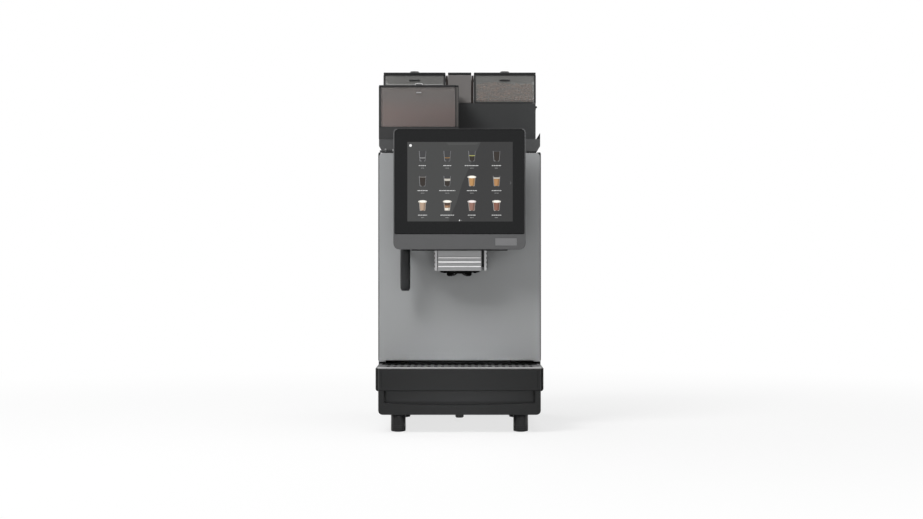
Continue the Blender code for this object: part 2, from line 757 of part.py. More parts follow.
def build_cabinet(steel_dark, zinc, grey, black):
    """The outer sheets, the chassis inside them, the deck and the hopper pedestal."""
    side_top = DECK_BOTTOM - SIDE_TOP_GAP
    side_bottom = TRAY_TOP + FIT
    louvres = []
    for row in range(LOUVRE_COUNT):
        low = side_bottom + LOUVRE_RISE + row * LOUVRE_PITCH
        louvre_back = BACK - LOUVRE_BACK_INSET
        louvres.append(
            (
                (-HALF_WIDTH - OVER, HALF_WIDTH + OVER),
                (louvre_back - LOUVRE_LENGTH, louvre_back),
                (low, low + LOUVRE_HEIGHT),
            )
        )
    for name, side in (("left", -1), ("right", 1)):
        outer = side * HALF_WIDTH
        inner = outer - side * SHEET
        edge = outer - side * SIDE_FLANGE
        outline = (
            (outer, side_bottom),
            (outer, side_top),
            (edge, side_top),
            (edge, side_top - SHEET),
            (inner, side_top - SHEET),
            (inner, side_bottom),
        )
        sheet = prism(outline, "Y", (CABINET_FRONT, BACK - BACK_INSET))
        piece(f"side_panel_{name}", steel_dark, sheet, cut=[blocks(louvres)])

    cover_half = HALF_WIDTH - SHEET - FIT
    cover = block(
        (-cover_half, cover_half),
        (BASE_BACK + FIT, BASE_BACK + FIT + SHEET),
        (SHELF_TOP, side_top - SHEET - FIT),
    )
    inlet_z = SHELF_TOP + INLET_RISE
    fan_z = SHELF_TOP + FAN_RISE
    openings = [
        (
            centred(INLET_X, 2 * INLET_HALF_WIDTH + 2 * SLIDE_FIT),
            (BASE_BACK - OVER, BACK + OVER),
            centred(inlet_z, 2 * INLET_HALF_HEIGHT + 2 * SLIDE_FIT),
        )
    ]
    slot_pitch = FAN_SIZE / VENT_SLOTS
    for slot in range(VENT_SLOTS):
        low = fan_z - FAN_SIZE / 2 + (slot + GRID_BAR_SHARE / 2) * slot_pitch
        openings.append(
            (
                centred(FAN_X, FAN_SIZE),
                (BASE_BACK - OVER, BACK + OVER),
                (low, low + slot_pitch * GRID_BAR_SHARE),
            )
        )
    piece("rear_panel", steel_dark, cover, cut=[blocks(openings)])

    shelf_half = HALF_WIDTH - BASE_INSET - FIT
    shelf_low = BASE_TOP + FIT
    chassis = (
        (CABINET_FRONT, shelf_low),
        (BASE_BACK - SHEET, shelf_low),
        (BASE_BACK - SHEET, SHELF_TOP),
        (BULKHEAD_BACK, SHELF_TOP),
        (BULKHEAD_BACK, BULKHEAD_TOP),
        (BULKHEAD_FRONT, BULKHEAD_TOP),
        (BULKHEAD_FRONT, SHELF_TOP),
        (CABINET_FRONT, SHELF_TOP),
    )
    frame = prism(chassis, "X", (-shelf_half, shelf_half))
    window = block(
        (-BULKHEAD_WINDOW, BULKHEAD_WINDOW),
        (BULKHEAD_FRONT - OVER, BULKHEAD_BACK + OVER),
        (BREW_BOTTOM + BREW_HEIGHT, DECK_BOTTOM - 2 * BULKHEAD_WINDOW),
    )
    piece("inner_bulkhead", zinc, frame, cut=[window])

    edge = HALF_WIDTH - DECK_SIDE_INSET
    under = edge - DECK_CHAMFER_WIDTH
    shoulder = DECK_BOTTOM + DECK_CHAMFER_HEIGHT
    outline = (
        (-under, DECK_BOTTOM),
        (under, DECK_BOTTOM),
        (edge, shoulder),
        (edge, DECK_TOP),
        (-edge, DECK_TOP),
        (-edge, shoulder),
    )
    deck_back = BACK - DECK_BACK_INSET
    slab = prism(outline, "Y", (DECK_FRONT, deck_back))
    fins = []
    for side, fin_front in ((1, DECK_FRONT), (-1, POWDER_BACK + SHEET)):
        outline = (
            (side * edge, DECK_TOP - SHEET),
            (side * edge, DECK_TOP + FIN_HEIGHT),
            (side * (edge - FIN_WIDTH), DECK_TOP),
            (side * (edge - FIN_WIDTH), DECK_TOP - SHEET),
        )
        fins.append(prism(outline, "Y", (fin_front, deck_back)))
    lug = block(
        (-HALF_WIDTH + THICK_WALL, -HALF_WIDTH + THICK_WALL + LUG_WIDTH),
        centred(HINGE_Y, LUG_DEPTH - SHEET),
        (DOOR_TOP + LUG_DOOR_GAP, DECK_BOTTOM + THICK_WALL),
    )
    pocket = block(
        (-HALF_WIDTH + DECK_POCKET_INSET, HALF_WIDTH - DECK_POCKET_INSET),
        (DECK_FRONT + TRAY_SIDE_WALL, deck_back - TRAY_SIDE_WALL),
        (DECK_BOTTOM - OVER, DECK_TOP - THICK_WALL),
    )
    through = (DECK_BOTTOM, DECK_TOP + OVER)
    neck = GRINDER_NECK_RADIUS + TUBE_HOLE_FIT
    holes = [
        rod(neck, "Z", (-GRINDER_X, HOPPER_MIDDLE), through, FINE_SIDES),
        rod(neck, "Z", (GRINDER_X, HOPPER_MIDDLE), through, FINE_SIDES),
        rod(POWDER_THROAT_RADIUS + TUBE_HOLE_FIT, "Z", (MIXER_X, MIXER_Y), through),
        tube_hole(through),
    ]
    piece("top_deck", grey, slab, [*fins, lug], [pocket, *holes])

    wide = HALF_WIDTH - PEDESTAL_INSET
    narrow = HALF_WIDTH - PEDESTAL_FOOT_INSET
    low = DECK_TOP + FIT
    outline = (
        (-narrow, low),
        (narrow, low),
        (wide, low + PEDESTAL_SLOPE_HEIGHT),
        (wide, PEDESTAL_TOP),
        (-wide, PEDESTAL_TOP),
        (-wide, low + PEDESTAL_SLOPE_HEIGHT),
    )
    pedestal = prism(outline, "Y", (HOPPER_FRONT, HOPPER_BACK))
    ceiling = PEDESTAL_TOP - WALL
    hollow = block(
        (-wide + PEDESTAL_WALL, wide - PEDESTAL_WALL),
        (HOPPER_FRONT + THICK_WALL, HOPPER_BACK - THICK_WALL),
        (low - OVER, ceiling),
    )
    through = (ceiling - OVER, PEDESTAL_TOP + OVER)
    gate_slot = block(
        (-HALF_WIDTH - OVER, HALF_WIDTH + OVER),
        centred(HOPPER_MIDDLE, 2 * (GATE_HALF_DEPTH + GATE_CLEARANCE)),
        (ceiling - GATE_THICKNESS - GATE_CLEARANCE, ceiling),
    )
    holes = [
        rod(THROAT_RADIUS, "Z", (-GRINDER_X, HOPPER_MIDDLE), through, FINE_SIDES),
        rod(THROAT_RADIUS, "Z", (GRINDER_X, HOPPER_MIDDLE), through, FINE_SIDES),
        tube_hole(through),
    ]
    piece("hopper_pedestal", black, pedestal, cut=[hollow, gate_slot, *holes])


def tube_hole(span):
    """The hole through which the ground coffee tube passes down."""
    return block(
        centred(0, 2 * TUBE_HALF_WIDTH + TUBE_HOLE_FIT),
        centred(HOPPER_MIDDLE, TUBE_DEPTH + TUBE_HOLE_FIT),
        span,
    )


def blocks(spans):
    """Several boxes that stand clear of each other, as one shape."""
    shape = bmesh.new()
    for span in spans:
        box = block(*span)
        shape.from_mesh(box)
    return finished(shape)


def build_door(silver, black, chromed):
    """The front door, its liner and its two hinge pins."""
    half = HALF_WIDTH - PANEL_INSET
    pivot = (HINGE_X, HINGE_Y, DOOR_BOTTOM)
    panel_back = DOOR_FRONT + PANEL_THICKNESS
    sheet = prism(
        rounded(
            (
                (-half, DOOR_BOTTOM, 0),
                (half, DOOR_BOTTOM, 0),
                (half, DOOR_TOP, PANEL_ROUND),
                (-half, DOOR_TOP, PANEL_ROUND),
            )
        ),
        "Y",
        (DOOR_FRONT, panel_back),
    )
    lips = [
        block(
            (left, left + PANEL_LIP_WIDTH),
            (DOOR_FRONT, panel_back),
            (DOOR_BOTTOM - PANEL_LIP_DROP, DOOR_BOTTOM + OVER),
        )
        for left in (-half, half - PANEL_LIP_WIDTH)
    ]
    hose_top = MOUNT_TOP - HOSE_DROP
    hose_way = (
        (-HOSE_HALF_WIDTH, HOSE_HALF_WIDTH),
        (SCREEN_FRONT, DOOR_BACK + OVER),
        (hose_top - HOSE_HEIGHT, hose_top),
    )
    piece("front_panel", silver, sheet, lips, [block(*hose_way)], pivot)

    liner_top = DOOR_TOP - LINER_TOP_GAP
    body = block(
        (-HALF_WIDTH, HALF_WIDTH),
        (panel_back + FIT, DOOR_BACK),
        (DOOR_BOTTOM, liner_top),
    )
    dish = block(
        (-HALF_WIDTH + LINER_RIM, HALF_WIDTH - LINER_RIM),
        (panel_back + FIT + LINER_SKIN, DOOR_BACK + OVER),
        (DOOR_BOTTOM + LINER_RIM, liner_top - LINER_RIM),
    )
    hinge = (HINGE_X, HINGE_Y)
    bore = PIN_RADIUS + PIN_FIT
    sockets = [
        rod(bore, "Z", hinge, (DOOR_BOTTOM - OVER, DOOR_BOTTOM + PIN_REACH + OVER)),
        rod(bore, "Z", hinge, (liner_top - PIN_REACH - OVER, liner_top + OVER)),
    ]
    piece("door_liner", black, body, cut=[dish, block(*hose_way), *sockets], pivot=pivot)

    low = DOOR_BOTTOM - THICK_WALL + FIT
    lower = rod(PIN_RADIUS, "Z", hinge, (low, DOOR_BOTTOM + PIN_REACH))
    piece("hinge_pin_lower", chromed, lower, pivot=(*hinge, low))
    top = DOOR_TOP + LUG_DOOR_GAP - FIT
    upper = rod(PIN_RADIUS, "Z", hinge, (liner_top - PIN_REACH, top))
    piece("hinge_pin_upper", chromed, upper, pivot=(*hinge, top))


def build_screen(grey, glass, lit, black):
    """The touch screen, and the mount that carries it in front of the door."""
    top = SCREEN_BOTTOM + SCREEN_HEIGHT
    chin = SCREEN_BOTTOM + CHIN_HEIGHT
    back = SCREEN_FRONT + SCREEN_THICKNESS
    corners = (
        (-SCREEN_HALF_WIDTH, SCREEN_BOTTOM, SCREEN_BOTTOM_ROUND),
        (SCREEN_HALF_WIDTH, SCREEN_BOTTOM, SCREEN_BOTTOM_ROUND),
        (SCREEN_HALF_WIDTH, top, SCREEN_TOP_ROUND),
        (-SCREEN_HALF_WIDTH, top, SCREEN_TOP_ROUND),
    )
    case = prism(rounded(corners), "Y", (SCREEN_FRONT, back))
    opening = SCREEN_HALF_WIDTH - BEZEL_RIM
    seat = prism(
        rounded(
            (
                (-opening, chin, 0),
                (opening, chin, 0),
                (opening, top - BEZEL_RIM, GLASS_ROUND),
                (-opening, top - BEZEL_RIM, GLASS_ROUND),
            )
        ),
        "Y",
        (SCREEN_FRONT - OVER, SCREEN_FRONT + GLASS_THICKNESS + FIT),
    )
    low = chin + DISPLAY_RISE
    display_half = DISPLAY_HALF_WIDTH + DISPLAY_MARGIN
    display_front = SCREEN_FRONT + GLASS_THICKNESS + 2 * FIT
    pocket = block(
        (-display_half, display_half),
        (SCREEN_FRONT, display_front + DISPLAY_THICKNESS),
        (low - DISPLAY_MARGIN, low + DISPLAY_HEIGHT + DISPLAY_MARGIN),
    )
    piece("screen_housing", grey, case, cut=[seat, pocket])

    glass_half = opening - FIT
    pane = prism(
        rounded(
            (
                (-glass_half, chin + FIT, 0),
                (glass_half, chin + FIT, 0),
                (glass_half, top - BEZEL_RIM - FIT, GLASS_ROUND - FIT),
                (-glass_half, top - BEZEL_RIM - FIT, GLASS_ROUND - FIT),
            )
        ),
        "Y",
        (SCREEN_FRONT, SCREEN_FRONT + GLASS_THICKNESS),
    )
    piece("screen_glass", glass, pane)
    panel = block(
        (-display_half + FIT, display_half - FIT),
        (display_front, display_front + DISPLAY_THICKNESS - FIT),
        (low - DISPLAY_MARGIN + FIT, low + DISPLAY_HEIGHT + DISPLAY_MARGIN - FIT),
    )
    piece("display_panel", lit, panel)

    bridge = MOUNT_TOP - MOUNT_BRIDGE
    bottom = MOUNT_TOP - MOUNT_HEIGHT
    outline = (
        (MOUNT_LEFT, bottom),
        (MOUNT_LEFT + MOUNT_CHEEK, bottom),
        (MOUNT_LEFT + MOUNT_CHEEK, bridge),
        (MOUNT_RIGHT - MOUNT_CHEEK, bridge),
        (MOUNT_RIGHT - MOUNT_CHEEK, bottom),
        (MOUNT_RIGHT, bottom),
        (MOUNT_RIGHT, MOUNT_TOP),
        (MOUNT_LEFT, MOUNT_TOP),
    )
    yoke = prism(outline, "Y", (back + FIT, DOOR_FRONT - FIT))
    hose_top = MOUNT_TOP - HOSE_DROP
    way = block(
        (-HOSE_HALF_WIDTH, HOSE_HALF_WIDTH),
        (back - OVER, DOOR_FRONT + OVER),
        (hose_top - HOSE_HEIGHT, hose_top),
    )
    piece("screen_mount", black, yoke, cut=[way])


def build_outlet(black, silver, steel):
    """The height-adjustable outlet and the hot water wand."""
    front = SPOUT_FRONT
    back = DOOR_FRONT - FIT
    top = COVER_BOTTOM + COVER_HEIGHT
    core_front = front + COVER_THICKNESS + FIT
    core_bottom = COVER_BOTTOM + CORE_RISE
    core = block(
        (CHEEK_LEFT + CHEEK_THICKNESS / 2, CHEEK_RIGHT - CHEEK_THICKNESS / 2),
        (core_front, back),
        (core_bottom, top),
    )
    cheeks = [
        block(
            (left, left + CHEEK_THICKNESS),
            (front, back - THICK_WALL),
            (COVER_BOTTOM + CHEEK_RISE, top - CHEEK_RISE),
        )
        for left in (CHEEK_LEFT, CHEEK_RIGHT - CHEEK_THICKNESS)
    ]
    middle = (COVER_LEFT + COVER_RIGHT) / 2
    pivot = (middle, back, core_bottom)
    piece("spout_body", black, core, cheeks, pivot=pivot)

    plate = block((COVER_LEFT, COVER_RIGHT), (front + OVER, front + COVER_THICKNESS), (COVER_BOTTOM, top))
    ribs = []
    for rise in COVER_RIB_HEIGHTS:
        low = COVER_BOTTOM + rise
        ribs.append(
            block(
                (COVER_LEFT + OVER, COVER_RIGHT - OVER),
                (front + OVER - COVER_RIB_DEPTH, front + 2 * OVER),
                (low, low + COVER_RIB_GAP),
            )
        )
    piece("spout_cover", silver, plate, ribs, pivot=pivot)

    tile_y = core_front + NOZZLE_TILE_DEPTH / 2
    tile_bottom = core_bottom - CORE_RISE
    tile = block(
        centred(middle, NOZZLE_TILE_WIDTH),
        (core_front, core_front + NOZZLE_TILE_DEPTH),
        (tile_bottom, core_bottom - FIT),
    )
    pipes = []
    bores = []
    for side in (-1, 1):
        centre = (middle + side * NOZZLE_SPACING / 2, tile_y)
        pipes.append(rod(NOZZLE_RADIUS, "Z", centre, (tile_bottom - NOZZLE_DROP, tile_bottom + OVER)))
        bores.append(rod(NOZZLE_BORE, "Z", centre, (tile_bottom - NOZZLE_DROP - OVER, core_bottom)))
    piece("spout_nozzles", black, tile, pipes, bores, pivot)

    pivot = (WAND_X, WAND_Y, WAND_PIVOT_Z)
    foot = WAND_PIVOT_Z - WAND_DROP
    shoulder = WAND_PIVOT_Z + WAND_RADIUS / 2
    profile = (
        (0, foot - WAND_TIP_HEIGHT + WAND_BORE),
        (WAND_BORE, foot - WAND_TIP_HEIGHT),
        (WAND_TIP_RADIUS, foot - WAND_TIP_HEIGHT),
        (WAND_TIP_RADIUS, foot),
        (WAND_RADIUS, foot + FOOT_ROUND),
        (WAND_RADIUS, shoulder),
        (WAND_RADIUS / 2, WAND_PIVOT_Z + WAND_RADIUS),
        (0, WAND_PIVOT_Z + WAND_RADIUS),
    )
    piece("wand_tube", steel, lathe(profile, "Z", pivot[:2], FINE_SIDES), pivot=pivot)
    span = (WAND_Y + WAND_RADIUS + FIT, DOOR_FRONT - FIT)
    elbow = rod(ELBOW_RADIUS, "Y", (WAND_X, WAND_PIVOT_Z), span)
    piece("wand_elbow", black, elbow)


def build_bean_hoppers(clear, black, chromed):
    """The two bean hoppers with their lids, locks and gates, and the chute between them."""
    low = PEDESTAL_TOP + FIT
    lid_low = HOPPER_TOP + FIT
    lid_top = lid_low + LID_THICKNESS
    depth = (HOPPER_FRONT, HOPPER_BACK)
    inner_depth = (HOPPER_FRONT + WALL, HOPPER_BACK - WALL)
    rim_depth = (inner_depth[0] + LID_RIM_FIT, inner_depth[1] - LID_RIM_BACK_FIT)
    rim_height = (HOPPER_TOP - LID_RIM_HEIGHT, lid_low + LID_THICKNESS / 2)
    ceiling = PEDESTAL_TOP - WALL
    for name, side in (("left", -1), ("right", 1)):
        near, far = side * HOPPER_INNER, side * (HALF_WIDTH - HOPPER_SIDE_INSET)
        wide = (min(near, far), max(near, far))
        inside = (wide[0] + WALL, wide[1] - WALL)
        box = block(wide, depth, (low, HOPPER_TOP))
        well = block(inside, inner_depth, (low + HOPPER_FLOOR, HOPPER_TOP + OVER))
        centre = (side * GRINDER_X, HOPPER_MIDDLE)
        floor = (low - OVER, low + HOPPER_FLOOR + OVER)
        throat = rod(THROAT_RADIUS, "Z", centre, floor, FINE_SIDES)
        pivot = (*centre, low)
        piece(f"bean_hopper_{name}", clear, box, cut=[well, throat], pivot=pivot)

        pivot = (centre[0], HOPPER_BACK, lid_low)
        cover = block(wide, depth, (lid_low, lid_top))
        rim_wide = (inside[0] + LID_RIM_FIT, inside[1] - LID_RIM_FIT)
        rim = block(rim_wide, rim_depth, rim_height)
        piece(f"bean_lid_{name}", black, cover, [rim], pivot=pivot)

        middle = sum(wide) / 2
        lock_centre = (middle, HOPPER_FRONT + LOCK_INSET)
        sizes = (LOCK_RADIUS, LOCK_HEIGHT, LOCK_SLOT)
        add_lock(f"lock_{name}", chromed, lock_centre, lid_top + FIT, sizes)

        outer = side * (HALF_WIDTH - PEDESTAL_INSET + GATE_NUB)
        inner = side * (GRINDER_X - 3 * THROAT_RADIUS - GATE_LAP)
        gate = block(
            (min(inner, outer), max(inner, outer)),
            centred(HOPPER_MIDDLE, 2 * GATE_HALF_DEPTH),
            (ceiling - GATE_THICKNESS, ceiling - FIT),
        )
        span = (ceiling - GATE_THICKNESS - OVER, ceiling + OVER)
        window = rod(THROAT_RADIUS, "Z", centre, span, FINE_SIDES)
        pivot = (*centre, ceiling - GATE_THICKNESS)
        piece(f"bean_gate_{name}", black, gate, cut=[window], pivot=pivot)

    wide = (-CHUTE_HALF_WIDTH, CHUTE_HALF_WIDTH)
    box = block(wide, depth, (low, HOPPER_TOP))
    inside = (wide[0] + WALL, wide[1] - WALL)
    well = block(inside, inner_depth, (low + WALL, HOPPER_TOP + OVER))
    outer = tube_outline(0, low + OVER)
    inner = tube_outline(SHEET, low + 2 * HOPPER_FLOOR)
    tube = prism(outer, "X", (-TUBE_HALF_WIDTH, TUBE_HALF_WIDTH))
    bore = prism(inner, "X", (-TUBE_HALF_WIDTH + SHEET, TUBE_HALF_WIDTH - SHEET))
    piece("bean_chute", black, box, [tube], [well, bore])
    cover = block(wide, depth, (lid_low, lid_top))
    rim_wide = (inside[0] + LID_RIM_FIT, inside[1] - LID_RIM_FIT)
    rim = block(rim_wide, rim_depth, rim_height)
    piece("chute_lid", black, cover, [rim], pivot=(0, HOPPER_BACK, lid_low))


def tube_outline(inset, top):
    """The side view of the ground coffee tube, which runs down and then forward."""
    front = HOPPER_MIDDLE - TUBE_DEPTH / 2 + inset
    rear = HOPPER_MIDDLE + TUBE_DEPTH / 2 - inset
    bend = DECK_BOTTOM
    mouth = BREW_BOTTOM + BREW_HEIGHT + BREW_BEAM + THICK_WALL - inset
    mouth_front = BREW_Y - TUBE_DEPTH / 2 + inset
    mouth_rear = BREW_Y + TUBE_DEPTH / 2 - inset
    return (
        (front, top),
        (front, bend),
        (mouth_front, mouth + BREW_BEAM),
        (mouth_front, mouth),
        (mouth_rear, mouth),
        (mouth_rear, mouth + BREW_BEAM / 2),
        (rear, bend - BREW_BEAM),
        (rear, top),
    )


def add_lock(name, chromed, centre, low, sizes):
    """A round cam lock with a key slot across its face."""
    radius, height, slot = sizes
    barrel = rod(radius, "Z", centre, (low, low + height), FINE_SIDES)
    key = block(
        centred(centre[0], radius),
        centred(centre[1], slot),
        (low + height - slot / 2, low + height + OVER),
    )
    piece(name, chromed, barrel, cut=[key], pivot=(*centre, low))


def powder_outline(inset):
    """The plan of the powder hopper, with its chamfered front corner."""
    left = -HALF_WIDTH + POWDER_LEFT_INSET + inset
    right = POWDER_RIGHT - inset
    front = DECK_FRONT + inset
    back = POWDER_BACK - inset
    chamfer = POWDER_CHAMFER - inset / 2
    return (
        (left, front),
        (right - chamfer, front),
        (right, front + chamfer),
        (right, back),
        (left, back),
    )


def build_powder_hopper(clear, black, chromed, white):
    """The powder hopper with its lid, lock and dosing auger."""
    low = DECK_TOP + FIT
    floor = low + POWDER_FLOOR
    centre = (MIXER_X, MIXER_Y)
    box = prism(powder_outline(0), "Z", (low, POWDER_TOP))
    well = prism(powder_outline(WALL), "Z", (floor, POWDER_TOP + OVER))
    throat = rod(POWDER_THROAT_RADIUS, "Z", centre, (low - POWDER_THROAT_DROP, low + OVER))
    drop = rod(
        POWDER_THROAT_RADIUS - SHEET, "Z", centre, (low - POWDER_THROAT_DROP - OVER, floor)
    )
    trough_span = (DECK_FRONT + AUGER_INSET, POWDER_BACK - AUGER_INSET)
    trough = rod(AUGER_TROUGH, "Y", (MIXER_X, floor), trough_span, FINE_SIDES)
    pivot = (*centre, low)
    piece("powder_hopper", clear, box, [throat], [well, trough, drop], pivot)

    lid_low = POWDER_TOP + FIT
    lid_top = lid_low + POWDER_LID_THICKNESS
    cover = prism(powder_outline(0), "Z", (lid_low, lid_top))
    pivot = (MIXER_X, POWDER_BACK, lid_low)
    piece("powder_lid", black, cover, pivot=pivot)
    left = -HALF_WIDTH + POWDER_LEFT_INSET
    lock_centre = ((left + POWDER_RIGHT) / 2, DECK_FRONT + LOCK_INSET)
    sizes = (POWDER_LOCK_RADIUS, POWDER_LOCK_HEIGHT, LOCK_SLOT)
    add_lock("lock_powder", chromed, lock_centre, lid_top + FIT, sizes)

    start, end = (trough_span[0] + FIT, trough_span[1] - FIT)
    shaft = rod(AUGER_SHAFT, "Y", (MIXER_X, floor), (start, end))
    flight = auger_flight((MIXER_X, floor), start + THICK_WALL, end - THICK_WALL)
    pivot = (MIXER_X, MIXER_Y, floor)
    piece("powder_auger", white, shaft, [flight], pivot=pivot)


def auger_flight(centre, start, end):
    """The spiral blade of the auger, which runs along Y."""
    shape = bmesh.new()
    steps = AUGER_TURNS * AUGER_TURN_STEPS
    pitch = (end - start - AUGER_BLADE) / steps
    corners = (
        (AUGER_SHAFT - OVER, 0),
        (AUGER_RADIUS, 0),
        (AUGER_RADIUS, AUGER_BLADE),
        (AUGER_SHAFT - OVER, AUGER_BLADE),
    )
    rings = []
    for step in range(steps + 1):
        angle = math.tau * step / AUGER_TURN_STEPS
        along = start + step * pitch
        ring = []
        for radius, shift in corners:
            x = centre[0] + radius * math.cos(angle)
            z = centre[1] + radius * math.sin(angle)
            ring.append(shape.verts.new((x, along + shift, z)))
        rings.append(ring)
    for near, far in zip(rings, rings[1:]):
        for index in range(len(corners)):
            shape.faces.new((near[index - 1], near[index], far[index], far[index - 1]))
    shape.faces.new(rings[0])
    shape.faces.new(rings[-1])
    return finished(shape)


def turned(shape, centre, axis, angle):
    """A shape turned about a line through a point."""
    away = Matrix.Translation(Vector(centre))
    shape.transform(away @ Matrix.Rotation(angle, 4, axis) @ away.inverted())
    return shape


def build_grinders(metal, steel):
    """The two grinders and their burrs."""
    top = PEDESTAL_TOP - WALL - GATE_THICKNESS - GRINDER_DROP
    neck_foot = DECK_BOTTOM - GRINDER_DROP
    chamber_foot = neck_foot - GRINDER_CHAMBER_HEIGHT
    foot = chamber_foot - GRINDER_MOTOR_HEIGHT
    chamber_floor = chamber_foot + GRINDER_WALL
    chamber_roof = neck_foot - GRINDER_WALL
    inner = GRINDER_CHAMBER_RADIUS - GRINDER_WALL
    for name, side in (("left", -1), ("right", 1)):
        centre = (side * GRINDER_X, HOPPER_MIDDLE)
        profile = (
            (0, foot),
            (GRINDER_MOTOR_RADIUS, foot),
            (GRINDER_MOTOR_RADIUS, chamber_foot),
            (GRINDER_CHAMBER_RADIUS, chamber_foot),
            (GRINDER_CHAMBER_RADIUS, neck_foot),
            (GRINDER_NECK_RADIUS, neck_foot),
            (GRINDER_NECK_RADIUS, top),
            (GRINDER_BORE, top),
            (GRINDER_BORE, chamber_roof),
            (inner, chamber_roof),
            (inner, chamber_floor),
            (0, chamber_floor),
        )
        arm = block(
            centred(centre[0], 2 * GRINDER_ARM),
            (BULKHEAD_BACK + FIT, HOPPER_MIDDLE - GRINDER_CHAMBER_RADIUS + GRINDER_WALL / 2),
            (chamber_foot, neck_foot - GRINDER_WALL),
        )
        body = lathe(profile, "Z", centre)
        piece(f"grinder_{name}", metal, body, [arm])

        low = chamber_floor + FIT
        high = chamber_roof - THICK_WALL
        profile = ((0, low), (BURR_RADIUS, low), (BURR_TIP, high), (0, high))
        grooves = []
        for tooth in range(BURR_TEETH):
            groove = block(
                (centre[0] + BURR_TIP, centre[0] + BURR_RADIUS + OVER),
                centred(centre[1], BURR_TOOTH),
                (low + BURR_TOOTH, high + OVER),
            )
            angle = math.tau * tooth / BURR_TEETH
            grooves.append(turned(groove, (*centre, low), "Z", angle))
        cone = lathe(profile, "Z", centre)
        piece(f"grinder_burr_{name}", steel, cone, cut=grooves, pivot=(*centre, low))


def build_water(steel, brassy):
    """The boiler and the pump."""
    low = SHELF_TOP + FIT
    top = low + BOILER_HEIGHT
    centre = (BOILER_X, HOPPER_MIDDLE)
    profile = (
        (0, low),
        (BOILER_RADIUS - BOILER_DOME, low),
        (BOILER_RADIUS, low + BOILER_DOME),
        (BOILER_RADIUS, top - BOILER_DOME),
        (BOILER_RADIUS - BOILER_DOME, top),
        (BOILER_PORT, top),
        (BOILER_PORT, top + BOILER_DOME),
        (0, top + BOILER_DOME),
    )
    piece("boiler", steel, lathe(profile, "Z", centre, FINE_SIDES))

    height = (low, low + PUMP_HEIGHT)
    front = HOPPER_MIDDLE - PUMP_LENGTH / 2
    back = HOPPER_MIDDLE + PUMP_LENGTH / 2
    motor = block(centred(PUMP_X, 2 * PUMP_HALF_WIDTH), (HOPPER_MIDDLE - WALL, back), height)
    axis = (PUMP_X, low + PUMP_HEIGHT / 2)
    head = rod(PUMP_HEAD_RADIUS, "Y", axis, (front, HOPPER_MIDDLE + OVER))
    port = rod(BOILER_PORT, "Z", (PUMP_X, front + PUMP_HEAD_RADIUS), (axis[1], low + PUMP_HEIGHT))
    piece("pump", brassy, motor, [head, port])


